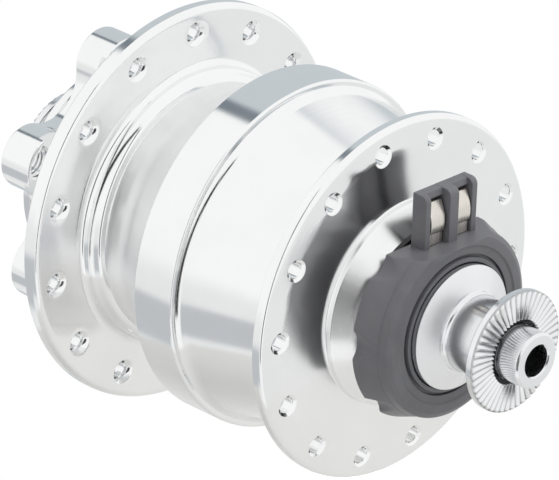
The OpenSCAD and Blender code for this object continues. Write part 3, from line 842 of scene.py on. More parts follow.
@dataclass(frozen=True)
class SpokeCircle:
    """One circle of countersunk spoke holes, cut as a patch in each sector of a turned flange."""

    circle_r: float
    reach: float
    phase: float
    count: int = 14
    hole_r: float = 1.3
    sink_r: float = 2.06
    sink_slope: float = 0.78
    lip: float = 0.06
    arc_steps: int = 24
    side_steps: int = 6
    rings: int = 5
    crowding: float = 0.8

    @property
    def low(self) -> float:
        """The patch's inner radius."""
        return self.circle_r - self.reach

    @property
    def high(self) -> float:
        """The patch's outer radius."""
        return self.circle_r + self.reach

    @property
    def half(self) -> float:
        """Half a sector's angle in radians."""
        return math.pi / self.count

    def angles(self) -> list[float]:
        """The turned steps of one sector."""
        return [self.half * (2 * step / self.arc_steps - 1) for step in range(self.arc_steps + 1)]

    def border(self) -> list[tuple[float, float]]:
        """Lists the sector's edge.

        Returns:
            Points as (angle, radius), counted from the outer corner.
        """
        half, low, high = self.half, self.low, self.high
        sweep = self.angles()[:-1]
        fall = [high + (low - high) * step / self.side_steps for step in range(self.side_steps)]
        edge = [(angle, high) for angle in sweep] + [(half, r) for r in fall]
        return edge + [(-angle, low) for angle in sweep] + [(-half, low + high - r) for r in fall]

    def hole(self, radius: float) -> list[tuple[float, float]]:
        """Lists points of a circle round the hole's middle, matched to the sector's edge.

        Args:
            radius: The circle's radius.

        Returns:
            Points as (angle, radius), two of which lie on the hole circle itself.
        """
        count = 2 * (self.arc_steps + self.side_steps)
        lean = math.asin(radius / (2 * self.circle_r))
        points = []
        for index in range(count):
            swing = 2 * math.pi * (index - self.arc_steps / 2) / count
            swing += lean * math.sin(swing)
            out, across = self.circle_r + radius * math.cos(swing), radius * math.sin(swing)
            points.append((math.atan2(across, out), math.hypot(out, across)))
        return points

    def side(self, surface: Outline, into: float) -> list[list[Corner]]:
        """Lays the loops of one face, from the sector's edge to the foot of the countersink.

        Args:
            surface: The face as (radius, place along the axle), with rising radius.
            into: The way along the axle into the flange, as 1 or -1.

        Returns:
            The loops.
        """
        border, rim = self.border(), self.hole(self.sink_r + self.lip)
        depth = (self.sink_r - self.hole_r) * self.sink_slope
        radii, levels = zip(*surface)
        loops = []
        for step in range(self.rings + 1):
            part = (step / self.rings) ** self.crowding
            rest, pairs = 1 - part, zip(border, rim)
            loops.append(([(a * rest + c * part, r * rest + d * part) for (a, r), (c, d) in pairs], 0.0))
        # The countersink's rings as (radius, depth below the surface)
        for radius, sink in (
            (self.sink_r + 0.015, 0.018), (self.sink_r - 0.05, 0.07),
            (self.hole_r + 0.04, depth - 0.02), (self.hole_r, depth + 0.06),
        ):
            loops.append((self.hole(radius), sink))
        return [
            [spun(r, float(np.interp(r, radii, levels)) + into * sink, a) for a, r in points]
            for points, sink in loops
        ]

    def patch(self, shape: Shape, face: Outline, back: Outline) -> None:
        """Adds a holed piece of flange between two surfaces.

        Args:
            shape: The sector's shape.
            face: The first surface as (radius, place along the axle), with rising radius.
            back: The second surface, likewise.
        """
        into = math.copysign(1.0, back[0][1] - face[0][1])
        skin(shape, self.side(face, into) + self.side(back, -into)[::-1])


def unit(angle: float) -> np.ndarray:
    """The unit vector at one angle."""
    return np.array((math.cos(angle), math.sin(angle)))


@dataclass(frozen=True)
class BrakeMount:
    """The six-lug mount behind the left flange: round lugs, tangent valleys, recess and threaded holes."""

    lugs: int = 6
    phase: float = 37.0
    reach: float = 25.4
    tip_r: float = 5.3
    tube_r: float = 17.1
    overlap: float = 1.5
    back_y: float = 33.2
    face_y: float = 39.5
    edge: float = 0.32
    hole_circle_r: float = 22.0
    hole_r: float = 2.5
    recess: float = 1.3
    recess_from: float = 18.35
    recess_to: float = 24.0
    chamfer: float = 0.35
    face_chamfer: float = 0.4
    clear: float = 2.0
    pitch: float = 0.8
    crest_r: float = 2.12
    tip_steps: int = 12
    valley_steps: int = 16
    thread_steps: int = 24
    thread_fade: int = 8

    def outline(self, depth: float) -> list[tuple[float, float]]:
        """Draws the lugs' outline.

        Args:
            depth: How far inside the true outline it runs.

        Returns:
            Its points as (x, z), turned to the mount's phase.
        """
        half = math.pi / self.lugs
        centre_r = self.reach - self.tip_r
        run = centre_r * math.cos(half)
        valley_r = (self.tip_r**2 - self.tube_r**2 - centre_r**2 + 2 * self.tube_r * run) / (
            2 * (self.tube_r - run - self.tip_r)
        )
        valley = unit(half) * (self.tube_r + valley_r)
        lug = np.array((centre_r, 0.0))
        toward = math.atan2(*(valley - lug)[::-1])
        arrive = math.atan2(*(lug - valley)[::-1])
        bottom = half - math.pi
        points = []
        for step in range(-self.tip_steps, self.tip_steps + 1):
            points.append(lug + (self.tip_r - depth) * unit(toward * step / self.tip_steps))
        for step in range(1, self.valley_steps):
            swing = arrive + (2 * bottom - 2 * arrive) * step / self.valley_steps
            points.append(valley + (valley_r + depth) * unit(swing))
        whole = []
        for index in range(self.lugs):
            cos, sin = unit(2 * half * index + math.radians(self.phase))
            spin = np.array(((cos, -sin), (sin, cos)))
            whole += [tuple(float(v) for v in spin @ point) for point in points]
        return whole

    def plate(self) -> Shape:
        """Builds the lugs as one closed ring.

        Returns:
            The shape.
        """
        shape = bmesh.new()
        levels = plate_levels(self.back_y, self.face_y, self.edge)
        loops = [[(x, y, z) for x, z in self.outline(depth)] for depth, y in levels]
        inner_r = self.tube_r - self.overlap
        for y in (self.face_y, self.back_y):
            loop = [(x, z, math.hypot(x, z)) for x, z in self.outline(0.0)]
            loops.append([(inner_r * x / out, y, inner_r * z / out) for x, z, out in loop])
        skin(shape, loops + loops[:1])
        return shape

    def turned_recess(self) -> Shape:
        """Builds the tool for the shallow ring that is turned into the backs of the lugs.

        Returns:
            The shape.
        """
        shape = bmesh.new()
        low, deep = self.back_y - self.clear, self.back_y + self.recess
        corners = [(self.recess_from, low), (self.recess_from, deep)]
        corners += [(self.recess_to, deep), (self.recess_to, low)]
        turn(shape, corners + corners[:1], whole_turn(144), full=True)
        return shape

    def drills(self) -> Shape:
        """Builds the tools for the six holes with their chamfers.

        Returns:
            The shape.
        """
        shape = bmesh.new()
        deep = self.back_y + self.recess
        levels = [
            (self.hole_r + self.chamfer, self.back_y - self.clear), (self.hole_r + self.chamfer, deep),
            (self.hole_r, deep + self.chamfer), (self.hole_r, self.face_y - self.face_chamfer),
            (self.hole_r + self.face_chamfer, self.face_y),
            (self.hole_r + self.face_chamfer, self.face_y + self.clear),
        ]
        for index in range(self.lugs):
            x, z = self.hole_circle_r * unit(math.radians(self.phase + index * 360 / self.lugs))
            loops = [
                [(x + r * math.cos(a), y, z + r * math.sin(a)) for a in whole_turn(48)] for r, y in levels
            ]
            skin(shape, loops, caps=True)
        return shape

    def thread(self) -> Shape:
        """Builds the screw thread inside the first lug's hole, laid on +X.

        Returns:
            The shape.
        """
        shape = bmesh.new()
        low, high = self.back_y + self.recess + 0.4, self.face_y - 0.45
        count = int((high - low - self.pitch) / self.pitch * self.thread_steps)
        foot_r, crest_half, foot_half = self.hole_r + 0.05, 0.05, self.pitch * 0.42
        loops = []
        for step in range(count + 1):
            swing = 2 * math.pi * step / self.thread_steps
            rise = low + self.pitch / 2 + self.pitch * step / self.thread_steps
            grown = min(1.0, step / self.thread_fade, (count - step) / self.thread_fade)
            crest = self.hole_r - 0.02 - (self.hole_r - self.crest_r) * max(grown, 0.05)
            section = ((foot_r, -foot_half), (crest, -crest_half), (crest, crest_half), (foot_r, foot_half))
            loops.append(
                [
                    (self.hole_circle_r + r * math.cos(swing), rise + y, r * math.sin(swing))
                    for r, y in section
                ]
            )
        skin(shape, loops, caps=True)
        return shape

    def build(self, finish: Finish) -> tuple[Mesh, Mesh]:
        """Builds the mount.

        Args:
            finish: The shell's finish.

        Returns:
            The lugs and their threads.
        """
        lugs = metric(self.plate())
        for tool in (self.turned_recess(), self.drills()):
            lugs = cut(lugs, metric(tool))
        return lugs, RadialRow(self.lugs, self.phase).build(self.thread(), finish)


@dataclass(frozen=True)
class Room:
    """The room for the generator and its bearings, whose radii the shell and the cover share."""

    spigot_r: float = 25.2
    seal_r: float = 24.3
    ring_r: float = 21.5
    clamp_r: float = 20.0
    waist_r: float = 17.6
    race_r: float = 14.0
    race_stop_r: float = 12.6
    joint_y: float = -4.3


ROOM = Room()


class SpokedPiece(Piece):
    """A turned piece with a spoke flange, built from the sector of one spoke hole."""

    body = Body.HUB
    holes: SpokeCircle

    def surfaces(self) -> tuple[Outline, Outline]:
        """The flange's face and its back round the spoke hole, with rising radius."""
        raise NotImplementedError

    def inside(self) -> list[Corner]:
        """The corners from the flange's face to its back on the axle's side."""
        raise NotImplementedError

    def rim(self) -> list[Corner]:
        """The corners from the flange's face to its back over the rim."""
        raise NotImplementedError

    def mesh(self) -> Mesh:
        """Builds the turned piece with its spoke holes.

        Returns:
            The mesh.
        """
        shape = bmesh.new()
        face, back = self.surfaces()
        for end, corners in ((0, self.inside()), (-1, self.rim())):
            turn(shape, rounded([face[end], *corners, back[end]]), self.holes.angles())
        self.holes.patch(shape, face, back)
        return joined(RadialRow(self.holes.count, self.holes.phase).build(shape, self.finish))


@dataclass
class HubShell(SpokedPiece):
    """The shell: left flange, raised ring, flared neck, band round the dynamo, bore and brake mount.

    The flange's coned back rises by back_rise over back_run inward of back_from.
    """

    node: str = "hub_shell"
    finish: Finish = ALLOY
    flange_r: float = 33.2
    flange_y: float = 21.3
    flange_back: float = 24.3
    back_from: float = 32.5
    back_run: float = 11.05
    back_rise: float = 0.5
    ring_r: float = 23.0
    ring_fillet: float = 1.4
    cove: Arc = Arc((26.218, 16.639), -4.4, 47.0, 61.7)
    bead: Arc = Arc((21.287, 19.294), 1.2, 61.7, 25.0)
    neck_r: float = 21.36
    neck_y: float = 18.0
    neck_taper: float = 0.14
    flare_from: float = 15.87
    flare_bend: float = 8.0
    flare_start: float = 93.5
    flare_stop: float = 121.0
    flare_r: float = 27.2
    flare_y: float = 4.0
    band_r: float = 28.8
    band_left: float = 3.6
    tube_r: float = 17.1
    dust_seal_r: float = 14.5
    register_r: float = 17.45
    register_y: float = 41.1
    seat_y: float = 39.5
    holes: SpokeCircle = SpokeCircle(29.0, 2.95, 10.8)
    mount: BrakeMount = BrakeMount()

    def back_at(self, r: float) -> float:
        """The place of the flange's coned back at one radius."""
        return self.flange_back + self.back_rise * (self.back_from - r) / self.back_run

    def inside(self) -> list[Corner]:
        """Lists the corners of ring and neck, band, generator's room, bearing seat and brake tube.

        Returns:
            The corners.
        """
        bend = (self.neck_r + self.neck_taper + self.flare_bend, self.flare_from)
        flare = Arc(bend, -self.flare_bend, self.flare_start, self.flare_stop, 16)
        return [
            (self.ring_r, self.flange_y, self.ring_fillet),
            *self.cove.points(),
            *self.bead.points()[1:],
            (self.neck_r, self.neck_y),
            *flare.points(),
            (self.flare_r, self.flare_y, 0.25), (self.flare_r + 0.5, self.flare_y - 0.2, 0.2),
            (self.band_r, self.band_left, 0.12), (self.band_r, ROOM.joint_y, 0.5),
            (ROOM.spigot_r, ROOM.joint_y, 0.2), (ROOM.spigot_r, 0.3), (ROOM.ring_r, 0.3),
            (ROOM.ring_r, 8.5), (ROOM.clamp_r, 8.5), (ROOM.clamp_r, 9.5), (ROOM.waist_r, 12.5),
            (ROOM.waist_r, 25.6), (ROOM.race_stop_r, 26.4), (ROOM.race_stop_r, 28.0), (ROOM.race_r, 28.0),
            (ROOM.race_r, 35.0), (self.dust_seal_r, 35.0), (self.dust_seal_r, self.register_y, 0.3),
            (self.register_r, self.register_y, 0.4), (self.register_r, self.seat_y),
            (self.tube_r, self.seat_y), (self.tube_r, self.back_at(self.tube_r), 3.4),
        ]

    def rim(self) -> list[Corner]:
        """Lists the rim's corners.

        Returns:
            The corners.
        """
        return [
            (self.flange_r - 0.45, self.flange_y, 0.95), (self.flange_r, self.flange_y + 1.0, 0.3),
            (self.flange_r, self.flange_back - 0.55, 0.25), (self.flange_r - 0.55, self.flange_back, 0.2),
        ]

    def surfaces(self) -> tuple[Outline, Outline]:
        """The flange's flat face and its coned back."""
        span = (self.holes.low, self.holes.high)
        return [(r, self.flange_y) for r in span], [(r, self.back_at(r)) for r in span]

    def mesh(self) -> Mesh:
        """The turned shell with its brake mount."""
        return joined(super().mesh(), *self.mount.build(self.finish))


@dataclass
class RightCover(SpokedPiece):
    """The right cover: spigot, tapered barrel, dished right flange and a boss with a brushed cone.

    The crest through the spoke holes stays sharp.
    """

    node: str = "right_cover"
    finish: Finish = TURNED
    sharp: float = 14.0
    flange_r: float = 29.8
    inner_y: float = -22.6
    crest_y: float = -25.2
    crest_drop: float = 0.123
    rim_y: float = -24.72
    rim_fillet: float = 1.05
    foot_y: float = -25.94
    dish_r: float = 60.0
    dish_from: float = 21.5
    dish_start: float = 2.75
    dish_stop: float = 7.0
    barrel_r: float = 22.4
    shoulder_r: float = 27.83
    cove: Arc = Arc((29.969, -6.822), -3.3, 43.5, 74.1)
    boss_r: float = 16.85
    boss_edge_y: float = -26.8
    boss_y: float = -30.0
    race_y: float = -23.0
    holes: SpokeCircle = SpokeCircle(26.0, 2.55, 10.8 + 360 / 28, sink_r=1.78)

    def inside(self) -> list[Corner]:
        """Lists the corners of dish and boss, bearing seat, generator's room, spigot and barrel.

        Returns:
            The corners.
        """
        start = math.radians(self.dish_start)
        begun = self.crest_y - (self.holes.circle_r - self.dish_from) * math.tan(start)
        middle = (self.dish_from + self.dish_r * math.sin(start), begun - self.dish_r * math.cos(start))
        return [
            *Arc(middle, -self.dish_r, self.dish_start, self.dish_stop).points(),
            (self.boss_r, self.foot_y, 0.8), (self.boss_r, self.boss_edge_y, 0.1),
            (ROOM.race_r + 0.05, self.boss_y), (ROOM.race_r, self.boss_y + 0.05),
            (ROOM.race_r, self.race_y), (ROOM.race_stop_r, self.race_y), (ROOM.race_stop_r, -21.3),
            (ROOM.waist_r, -20.4), (ROOM.waist_r, -13.5), (ROOM.clamp_r, -12.1), (ROOM.clamp_r, -11.5),
            (ROOM.ring_r, -11.5), (ROOM.ring_r, 0.1), (ROOM.spigot_r, 0.1, 0.2), (ROOM.spigot_r, -1.1),
            (ROOM.seal_r, -1.1), (ROOM.seal_r, -2.3), (ROOM.spigot_r, -2.3),
            (ROOM.spigot_r, ROOM.joint_y), (self.shoulder_r, ROOM.joint_y),
            *self.cove.points(),
            (self.barrel_r, self.inner_y + 1.3, 1.0), (self.barrel_r, self.inner_y, 1.1),
        ]

    def rim(self) -> list[Corner]:
        """Lists the rim's corners.

        Returns:
            The corners.
        """
        return [
            (self.flange_r - 0.25, self.rim_y, self.rim_fillet), (self.flange_r, self.rim_y + 0.67, 0.3),
            (self.flange_r, self.inner_y - 0.35, 0.25), (self.flange_r - 0.4, self.inner_y, 0.15),
        ]

    def surfaces(self) -> tuple[Outline, Outline]:
        """Lists the flange's outer face with its crest, and its flat inner face.

        Returns:
            Both surfaces.
        """
        low, middle, high = self.holes.low, self.holes.circle_r, self.holes.high
        stations = (low, middle, self.flange_r - 0.25)
        levels = (self.crest_y - self.crest_drop, self.crest_y, self.rim_y)
        face = [(r, float(np.interp(r, stations, levels))) for r in (low, middle, high)]
        return face, [(low, self.inner_y), (high, self.inner_y)]


def soft_least(first: float, second: float, blend: float) -> float:
    """The lesser of two values, rounded where they are close.

    Args:
        first: One value.
        second: The other.
        blend: The width of the rounding.

    Returns:
        The rounded lesser value.
    """
    near = max(blend - abs(first - second), 0.0) / blend
    return min(first, second) - near * near * blend / 4


@dataclass
class ConnectorCap(Piece):
    """The moulded cap: grip scoops, parting line, stepped front, platform and finned connector."""

    node: str = "connector_cap"
    finish: Finish = CAP_PLASTIC
    sharp: float = 34.0
    back_y: float = -31.5
    back_r: float = 17.05
    bore_y: float = -32.0
    part_y: float = -35.6
    part_r: float = 15.55
    front_y: float = -37.6
    front_r: float = 14.6
    face_r: float = 12.8
    step_r: float = 11.5
    groove_r: float = 10.95
    lip_r: float = 10.3
    seat_y: float = -36.4
    axle_r: float = 7.5
    platform_z: float = 13.1
    platform_blend: float = 0.7
    upper_side: float = 0.3
    scoops: int = 8
    scoop_r: float = 3.4
    scoop_floor: float = 15.8
    blend: float = 0.3
    round_steps: int = 720
    socket_x: float = 0.8
    socket_w: float = 11.4
    socket_h: float = 8.8
    root: float = -0.4
    plate_y: float = -31.6
    plate_t: float = 1.0
    fin_t: float = 1.15
    fin_depth: float = 2.9
    fin_edge: float = 0.14
    middle_t: float = 2.0
    middle_depth: float = 3.5
    corner_r: float = 1.15
    bar_h: float = 1.2
    bar_depth: float = 1.8
    bar_edge: float = 0.05
    seam_low: float = 1.3
    seam_high: float = 1.38
    seam_edge: float = 0.02

    def outline(self) -> Outline:
        """Draws the cap's turned outline from the bore's back round to the bore's front.

        Returns:
            The outline, which has points enough on its flank and its back for the scoops.
        """
        out, along = self.part_r - self.back_r, self.part_y - self.back_y
        flank = [(self.back_r + out * t, self.back_y + along * t) for t in np.linspace(0.06, 0.96, 14)]
        corners = [
            (self.axle_r, self.bore_y), (self.step_r, self.bore_y), (self.step_r + 0.5, self.back_y),
            *((r, self.back_y) for r in np.linspace(13.0, self.back_r - 0.25, 6)),
            (self.back_r, self.back_y, 0.14),
            *flank,
            (self.part_r + 0.02, self.part_y + 0.07), (self.part_r - 0.06, self.part_y),
            (self.part_r - 0.04, self.part_y - 0.07), (self.part_r - 0.13, self.part_y - 0.5),
            (self.part_r - 0.25, self.front_y + 0.55, 0.5),
            (self.front_r - 0.15, self.front_y + 0.08, 0.4), (self.face_r + 0.8, self.front_y + 0.02),
            (self.face_r + 0.16, self.front_y, 0.08), (self.face_r - 0.1, self.front_y + 0.25, 0.08),
            (self.step_r, self.front_y + 0.3, 0.1), (self.step_r, self.front_y + 0.9),
            (self.groove_r, self.front_y + 0.9), (self.groove_r, self.front_y + 0.05, 0.08),
            (self.lip_r, self.front_y + 0.05, 0.08), (self.lip_r, self.seat_y),
            (self.axle_r, self.seat_y), (self.axle_r, self.bore_y),
        ]
        return rounded(corners)

    def reach(self, r: float, angle: float) -> float:
        """Finds the cap's radius at one place of its outline and one angle.

        Args:
            r: The turned radius.
            angle: The angle from +X toward +Z.

        Returns:
            The radius with the scoops and the platform taken off.
        """
        if r <= self.face_r - 0.5:
            return r
        least = r
        step = 2 * math.pi / self.scoops
        place = round((angle - math.pi / 2) / step)
        if place % self.scoops:
            off = angle - math.pi / 2 - place * step
            centre = self.scoop_floor + self.scoop_r
            room = self.scoop_r**2 - (centre * math.sin(off)) ** 2
            if room > 0:
                least = soft_least(least, centre * math.cos(off) - math.sqrt(room), self.blend)
        if math.sin(angle) > self.upper_side:
            least = soft_least(least, self.platform_z / math.sin(angle), self.blend * self.platform_blend)
        return least

    def moulding(self) -> Shape:
        """Builds the cap's body.

        Returns:
            The shape.
        """
        shape, outline = bmesh.new(), self.outline()
        rows = [
            [shape.verts.new(spun(self.reach(r, angle), y, angle)) for r, y in outline]
            for angle in whole_turn(self.round_steps)
        ]
        bridge(shape, rows, full=True)
        return shape

    def upright(self, depth: float, height: float, across: float) -> Corner:
        """Turns (depth, height, across) of the connector into a point."""
        return (self.socket_x + across, self.plate_y - depth, self.platform_z + height)

    def fin(self, shape: Shape, middle: float, thickness: float, depth: float) -> None:
        """Adds one fin with a round front top corner and a spread foot.

        Args:
            shape: The connector's shape.
            middle: The place of its middle plane.
            thickness: Its thickness.
            depth: How far it stands forward.
        """
        corners = [
            (0.0, self.root), (depth, self.root), (depth, self.socket_h, self.corner_r),
            (0.0, self.socket_h, 0.12),
        ]
        span = (middle - thickness / 2, middle + thickness / 2)
        slab(shape, rounded_ring(corners, 6), span, self.fin_edge, self.upright)

    def connector(self) -> Shape:
        """Builds the fins, the back plate, the bar over the contacts and the side's seam.

        Returns:
            The shape.
        """
        shape = bmesh.new()
        side = (self.socket_w - self.fin_t) / 2
        self.fin(shape, -side, self.fin_t, self.fin_depth)
        self.fin(shape, side, self.fin_t, self.fin_depth)
        self.fin(shape, 0.0, self.middle_t, self.middle_depth)
        inner, top = self.socket_w / 2 - 0.2, self.socket_h - 0.5
        plate = [(0.0, self.root), (self.plate_t, self.root), (self.plate_t, top), (0.0, top)]
        slab(shape, plate, (-inner, inner), self.bar_edge, self.upright)
        low = self.socket_h - self.bar_h
        bar = [
            (0.0, low), (self.bar_depth, low, 0.1), (self.bar_depth + 0.1, low + 0.25, 0.1),
            (self.bar_depth - 0.2, self.socket_h - 0.08, 0.15), (0.0, self.socket_h - 0.02, 0.1),
        ]
        slab(shape, rounded_ring(bar), (-inner, inner), self.bar_edge, self.upright)
        near, far = 0.02, self.fin_depth - 0.1
        seam = [(near, self.seam_low), (far, self.seam_low), (far, self.seam_high), (near, self.seam_high)]
        outside = -self.socket_w / 2
        slab(shape, rounded_ring(seam), (outside - 0.035, outside + 0.2), self.seam_edge, self.upright)
        return shape

    def mesh(self) -> Mesh:
        """The body with its connector."""
        return joined(metric(self.moulding()), metric(self.connector()))


@dataclass
class Contacts(Piece):
    """The two folded contact blades between the fins."""

    node: str = "contact_blades"
    finish: Finish = CONTACT
    sharp: float = 40.0
    blade_x: float = 2.8375
    blade_w: float = 3.0
    thickness: float = 0.32
    edge: float = 0.05
    depth: float = 1.0
    root: float = -2.7
    top: float = 7.0
    fold_r: float = 0.4
    front: float = 0.62
    low: float = 1.5
    foot: float = 0.12
    bulge: float = 1.05
    bow: float = 0.7
    bow_end: float = 0.86
    cap: ConnectorCap = field(default_factory=ConnectorCap)

    def line(self) -> Outline:
        """Draws the blade's middle line: up the back, over, down the sprung front to its foot.

        Returns:
            Points as (depth, height).
        """
        start, fold_y, crown = self.depth + self.thickness / 2, self.top - 0.45, self.top - 0.15
        run = crown - self.low
        fold = [
            (start + self.fold_r * (1 - math.cos(a)), fold_y + self.fold_r * math.sin(a))
            for a in np.linspace(0.15, math.pi * 0.72, 8)
        ]
        sprung = []
        for part in np.linspace(0.08, self.bow_end, 12):
            swell = self.bulge * math.sin(part / self.bow_end * math.pi * self.bow)
            sprung.append((start + self.front + swell * 0.9, crown - run * part))
        tip = start + self.front + self.bulge * 0.9 * math.sin(math.pi * self.bow)
        height = crown - run * self.bow_end
        # A jog behind the bow, then the straight foot
        foot = [
            (tip - 0.1, height - 0.14), (tip - 0.26, height - 0.24), (tip - 0.3, height - 0.45),
            (tip - 0.3, self.foot),
        ]
        return [(start, self.root), (start, fold_y), *fold, *sprung, *foot]

    def mesh(self) -> Mesh:
        """Builds both blades.

        Returns:
            The mesh.
        """
        line = np.array(self.line())
        way = np.gradient(line, axis=0)
        way /= np.linalg.norm(way, axis=1)[:, None]
        normal = np.stack((way[:, 1], -way[:, 0]), axis=1) * self.thickness / 2
        ring = [*map(tuple, line + normal), *map(tuple, (line - normal)[::-1])]
        area = sum(a[0] * b[1] - a[1] * b[0] for a, b in zip(ring, ring[1:] + ring[:1]))
        if area < 0:
            ring.reverse()
        shape = bmesh.new()
        for middle in (-self.blade_x, self.blade_x):
            span = (middle - self.blade_w / 2, middle + self.blade_w / 2)
            slab(shape, ring, span, self.edge, self.cap.upright, 2)
        return metric(shape)


@dataclass
class LockNut(Piece):
    """One lock nut: rim, cone, necked waist and the serrated disc that the fork clamps."""

    node: str
    side: float
    seat: float
    sharp: float = 26.0
    lock: float = 50.0
    thread_r: float = 4.55
    rim_r: float = 10.15
    cone_r: float = 6.7
    neck_r: float = 6.2
    disc_r: float = 9.85
    disc_t: float = 1.3
    teeth: int = 48
    tooth_h: float = 0.42
    tooth_from: float = 5.35
    crest: float = 0.1
    rim_share: float = 0.155
    cone_share: float = 0.132

    def outline(self, rise: float) -> Outline:
        """Draws the nut's closed outline where the teeth stand at one height.

        Args:
            rise: The height above the valleys between the teeth.

        Returns:
            The outline, from the bore's back round to the bore's front.
        """
        length = self.lock - self.seat
        cone_y = self.seat + self.rim_share * length
        neck_y = cone_y + self.cone_share * length
        valley = self.lock - self.tooth_h
        back, face = valley - self.disc_t, valley + rise
        corners = [
            (self.thread_r, self.seat), (self.rim_r, self.seat, 0.1), (self.rim_r, cone_y, 0.16),
            (self.cone_r + 0.25, neck_y - 0.06, 0.12), (self.cone_r - 0.12, neck_y + 0.1, 0.12),
            (self.cone_r - 0.2, neck_y + 0.32, 0.15), (self.neck_r, neck_y + 0.7, 0.6),
            (self.neck_r, back - 0.5, 1.5), (self.disc_r - 0.45, back - 0.05, 0.4),
            (self.disc_r, back + 0.12, 0.2), (self.disc_r, valley - 0.12 + rise * 0.15, 0.03),
            (self.disc_r - 0.38, face - 0.02, 0.05), (self.disc_r - 0.6, face), (7.5, face),
            (self.tooth_from, face, 0.04), (self.tooth_from - 0.2, valley - 0.12, 0.03),
            (self.thread_r + 0.35, self.lock - 1.0), (self.thread_r, self.lock - 1.3),
            (self.thread_r, self.seat),
        ]
        return rounded(corners, 4)

    def mesh(self) -> Mesh:
        """Builds the nut from one tooth's sector.

        Returns:
            The mesh.
        """
        half = math.pi / self.teeth
        shape, rows = bmesh.new(), []
        for angle, rise, leans in ((-half, 0.0, (0,)), (0.0, self.tooth_h, (-1, 1)), (half, 0.0, (0,))):
            for lean in leans:
                row = []
                for r, y in self.outline(rise):
                    turned = angle + lean * self.crest / 2 / max(r, 5.0)
                    row.append(shape.verts.new(spun(r, y * self.side, turned)))
                rows.append(row)
        bridge(shape, rows)
        return joined(RadialRow(self.teeth).build(shape, self.finish))


@dataclass
class Axle(Piece):
    """The hollow axle: seats, collar, lead slot and the polished stubs outside the lock nuts."""

    node: str = "axle"
    end: float = 54.0
    stub_r: float = 4.5
    relief_r: float = 4.15
    relief_w: float = 0.5
    bore_r: float = 2.55
    bore_lip: float = 0.22
    lock: float = 50.0
    seat_r: float = 7.5
    right_seat: float = -36.2
    left_seat: float = 36.8
    core_r: float = 8.0
    core_from: float = -23.0
    collar_r: float = 10.0
    collar_y: float = 8.2
    spacer_r: float = 8.9
    spacer_to: float = 28.0
    slot: Corner = (1.4, 5.4, 9.0)
    slot_run: Corner = (-34.2, -14.8)
    round_steps: int = 128

    def tip(self) -> list[Corner]:
        """Lists the corners of one end.

        Returns:
            The corners as for +Y, from the bore's lip to the relief at the lock nut's face.
        """
        return [
            (self.bore_r + self.bore_lip, self.end, 0.08), (self.stub_r - 0.35, self.end, 0.12),
            (self.stub_r, self.end - 0.4, 0.15), (self.stub_r, self.lock + 0.1, 0.1),
            (self.relief_r, self.lock, 0.05), (self.relief_r, self.lock - self.relief_w),
            (self.stub_r, self.lock - self.relief_w),
        ]

    def outline(self) -> Outline:
        """Draws the axle's closed outline, from its right end to its left end and back through the bore.

        Returns:
            The outline.
        """
        right = [(corner[0], -corner[1], *corner[2:]) for corner in self.tip()]
        corners = [
            *right,
            (self.stub_r, self.right_seat), (self.seat_r, self.right_seat, 0.2),
            (self.seat_r, self.core_from), (self.core_r, self.core_from), (self.core_r, self.collar_y),
            (self.collar_r, self.collar_y), (self.collar_r, self.collar_y + 2.0),
            (self.spacer_r, self.collar_y + 4.0), (self.spacer_r, self.spacer_to),
            (self.seat_r, self.spacer_to), (self.seat_r, self.left_seat, 0.2),
            (self.stub_r, self.left_seat),
            *reversed(self.tip()),
            (self.bore_r, self.end - 0.25, 0.08), (self.bore_r, -self.end + 0.25, 0.08),
            right[0],
        ]
        return rounded(corners)

    def mesh(self) -> Mesh:
        """Builds the axle and cuts the slot for the leads.

        Returns:
            The mesh.
        """
        body, tool = bmesh.new(), bmesh.new()
        turn(body, self.outline(), whole_turn(self.round_steps), full=True)
        half, low, high = self.slot
        corners = [(-half, low), (half, low), (half, high), (-half, high)]
        skin(tool, [[(x, y, z) for x, z in corners] for y in self.slot_run], caps=True)
        return cut(metric(body), metric(tool))


# Studio


@dataclass(frozen=True)
class Panel:
    """One panel of the light tent, in degrees: azimuth counts from the front toward the right."""

    azimuth: float
    half_width: float
    low: float
    high: float
    soft: float
    colour: Colour

    def paint(self, graph: Graph, azimuth: Socket, elevation: Socket, under: Colour | Socket) -> Socket:
        """Paints the panel over what the tent already has.

        Args:
            graph: The world's graph.
            azimuth: The looked-at azimuth.
            elevation: The looked-at elevation.
            under: The colour so far.

        Returns:
            The new colour.
        """
        off = graph.math("WRAP", graph.math("SUBTRACT", azimuth, self.azimuth), 180.0, -180.0)
        far, edge = graph.math("ABSOLUTE", off), self.soft / 2
        inside = graph.step(far, self.half_width - edge, self.half_width + edge, 1.0, 0.0)
        above = graph.step(elevation, self.low - edge, self.low + edge)
        below = graph.step(elevation, self.high - edge, self.high + edge, 1.0, 0.0)
        cover = graph.math("MULTIPLY", inside, graph.math("MULTIPLY", above, below))
        return graph.mix(cover, under, self.colour)


# The bright sides with a darker strip, the strips behind, and the narrow dark slit at the camera
TENT = (
    Panel(-125.0, 62.0, -60.0, -8.0, 14.0, (0.86, 0.87, 0.87)),
    Panel(40.0, 62.0, -60.0, -6.0, 12.0, (0.84, 0.85, 0.85)),
    Panel(-125.0, 60.0, -44.0, -24.0, 4.0, (0.54, 0.56, 0.585)),
    Panel(144.0, 27.0, -46.0, 57.0, 6.0, (0.58, 0.625, 0.655)),
    Panel(165.0, 5.5, -46.0, 54.0, 5.0, (0.2, 0.23, 0.26)),
    Panel(-46.2, 5.5, -31.0, 62.0, 2.0, (0.015, 0.016, 0.018)),
)


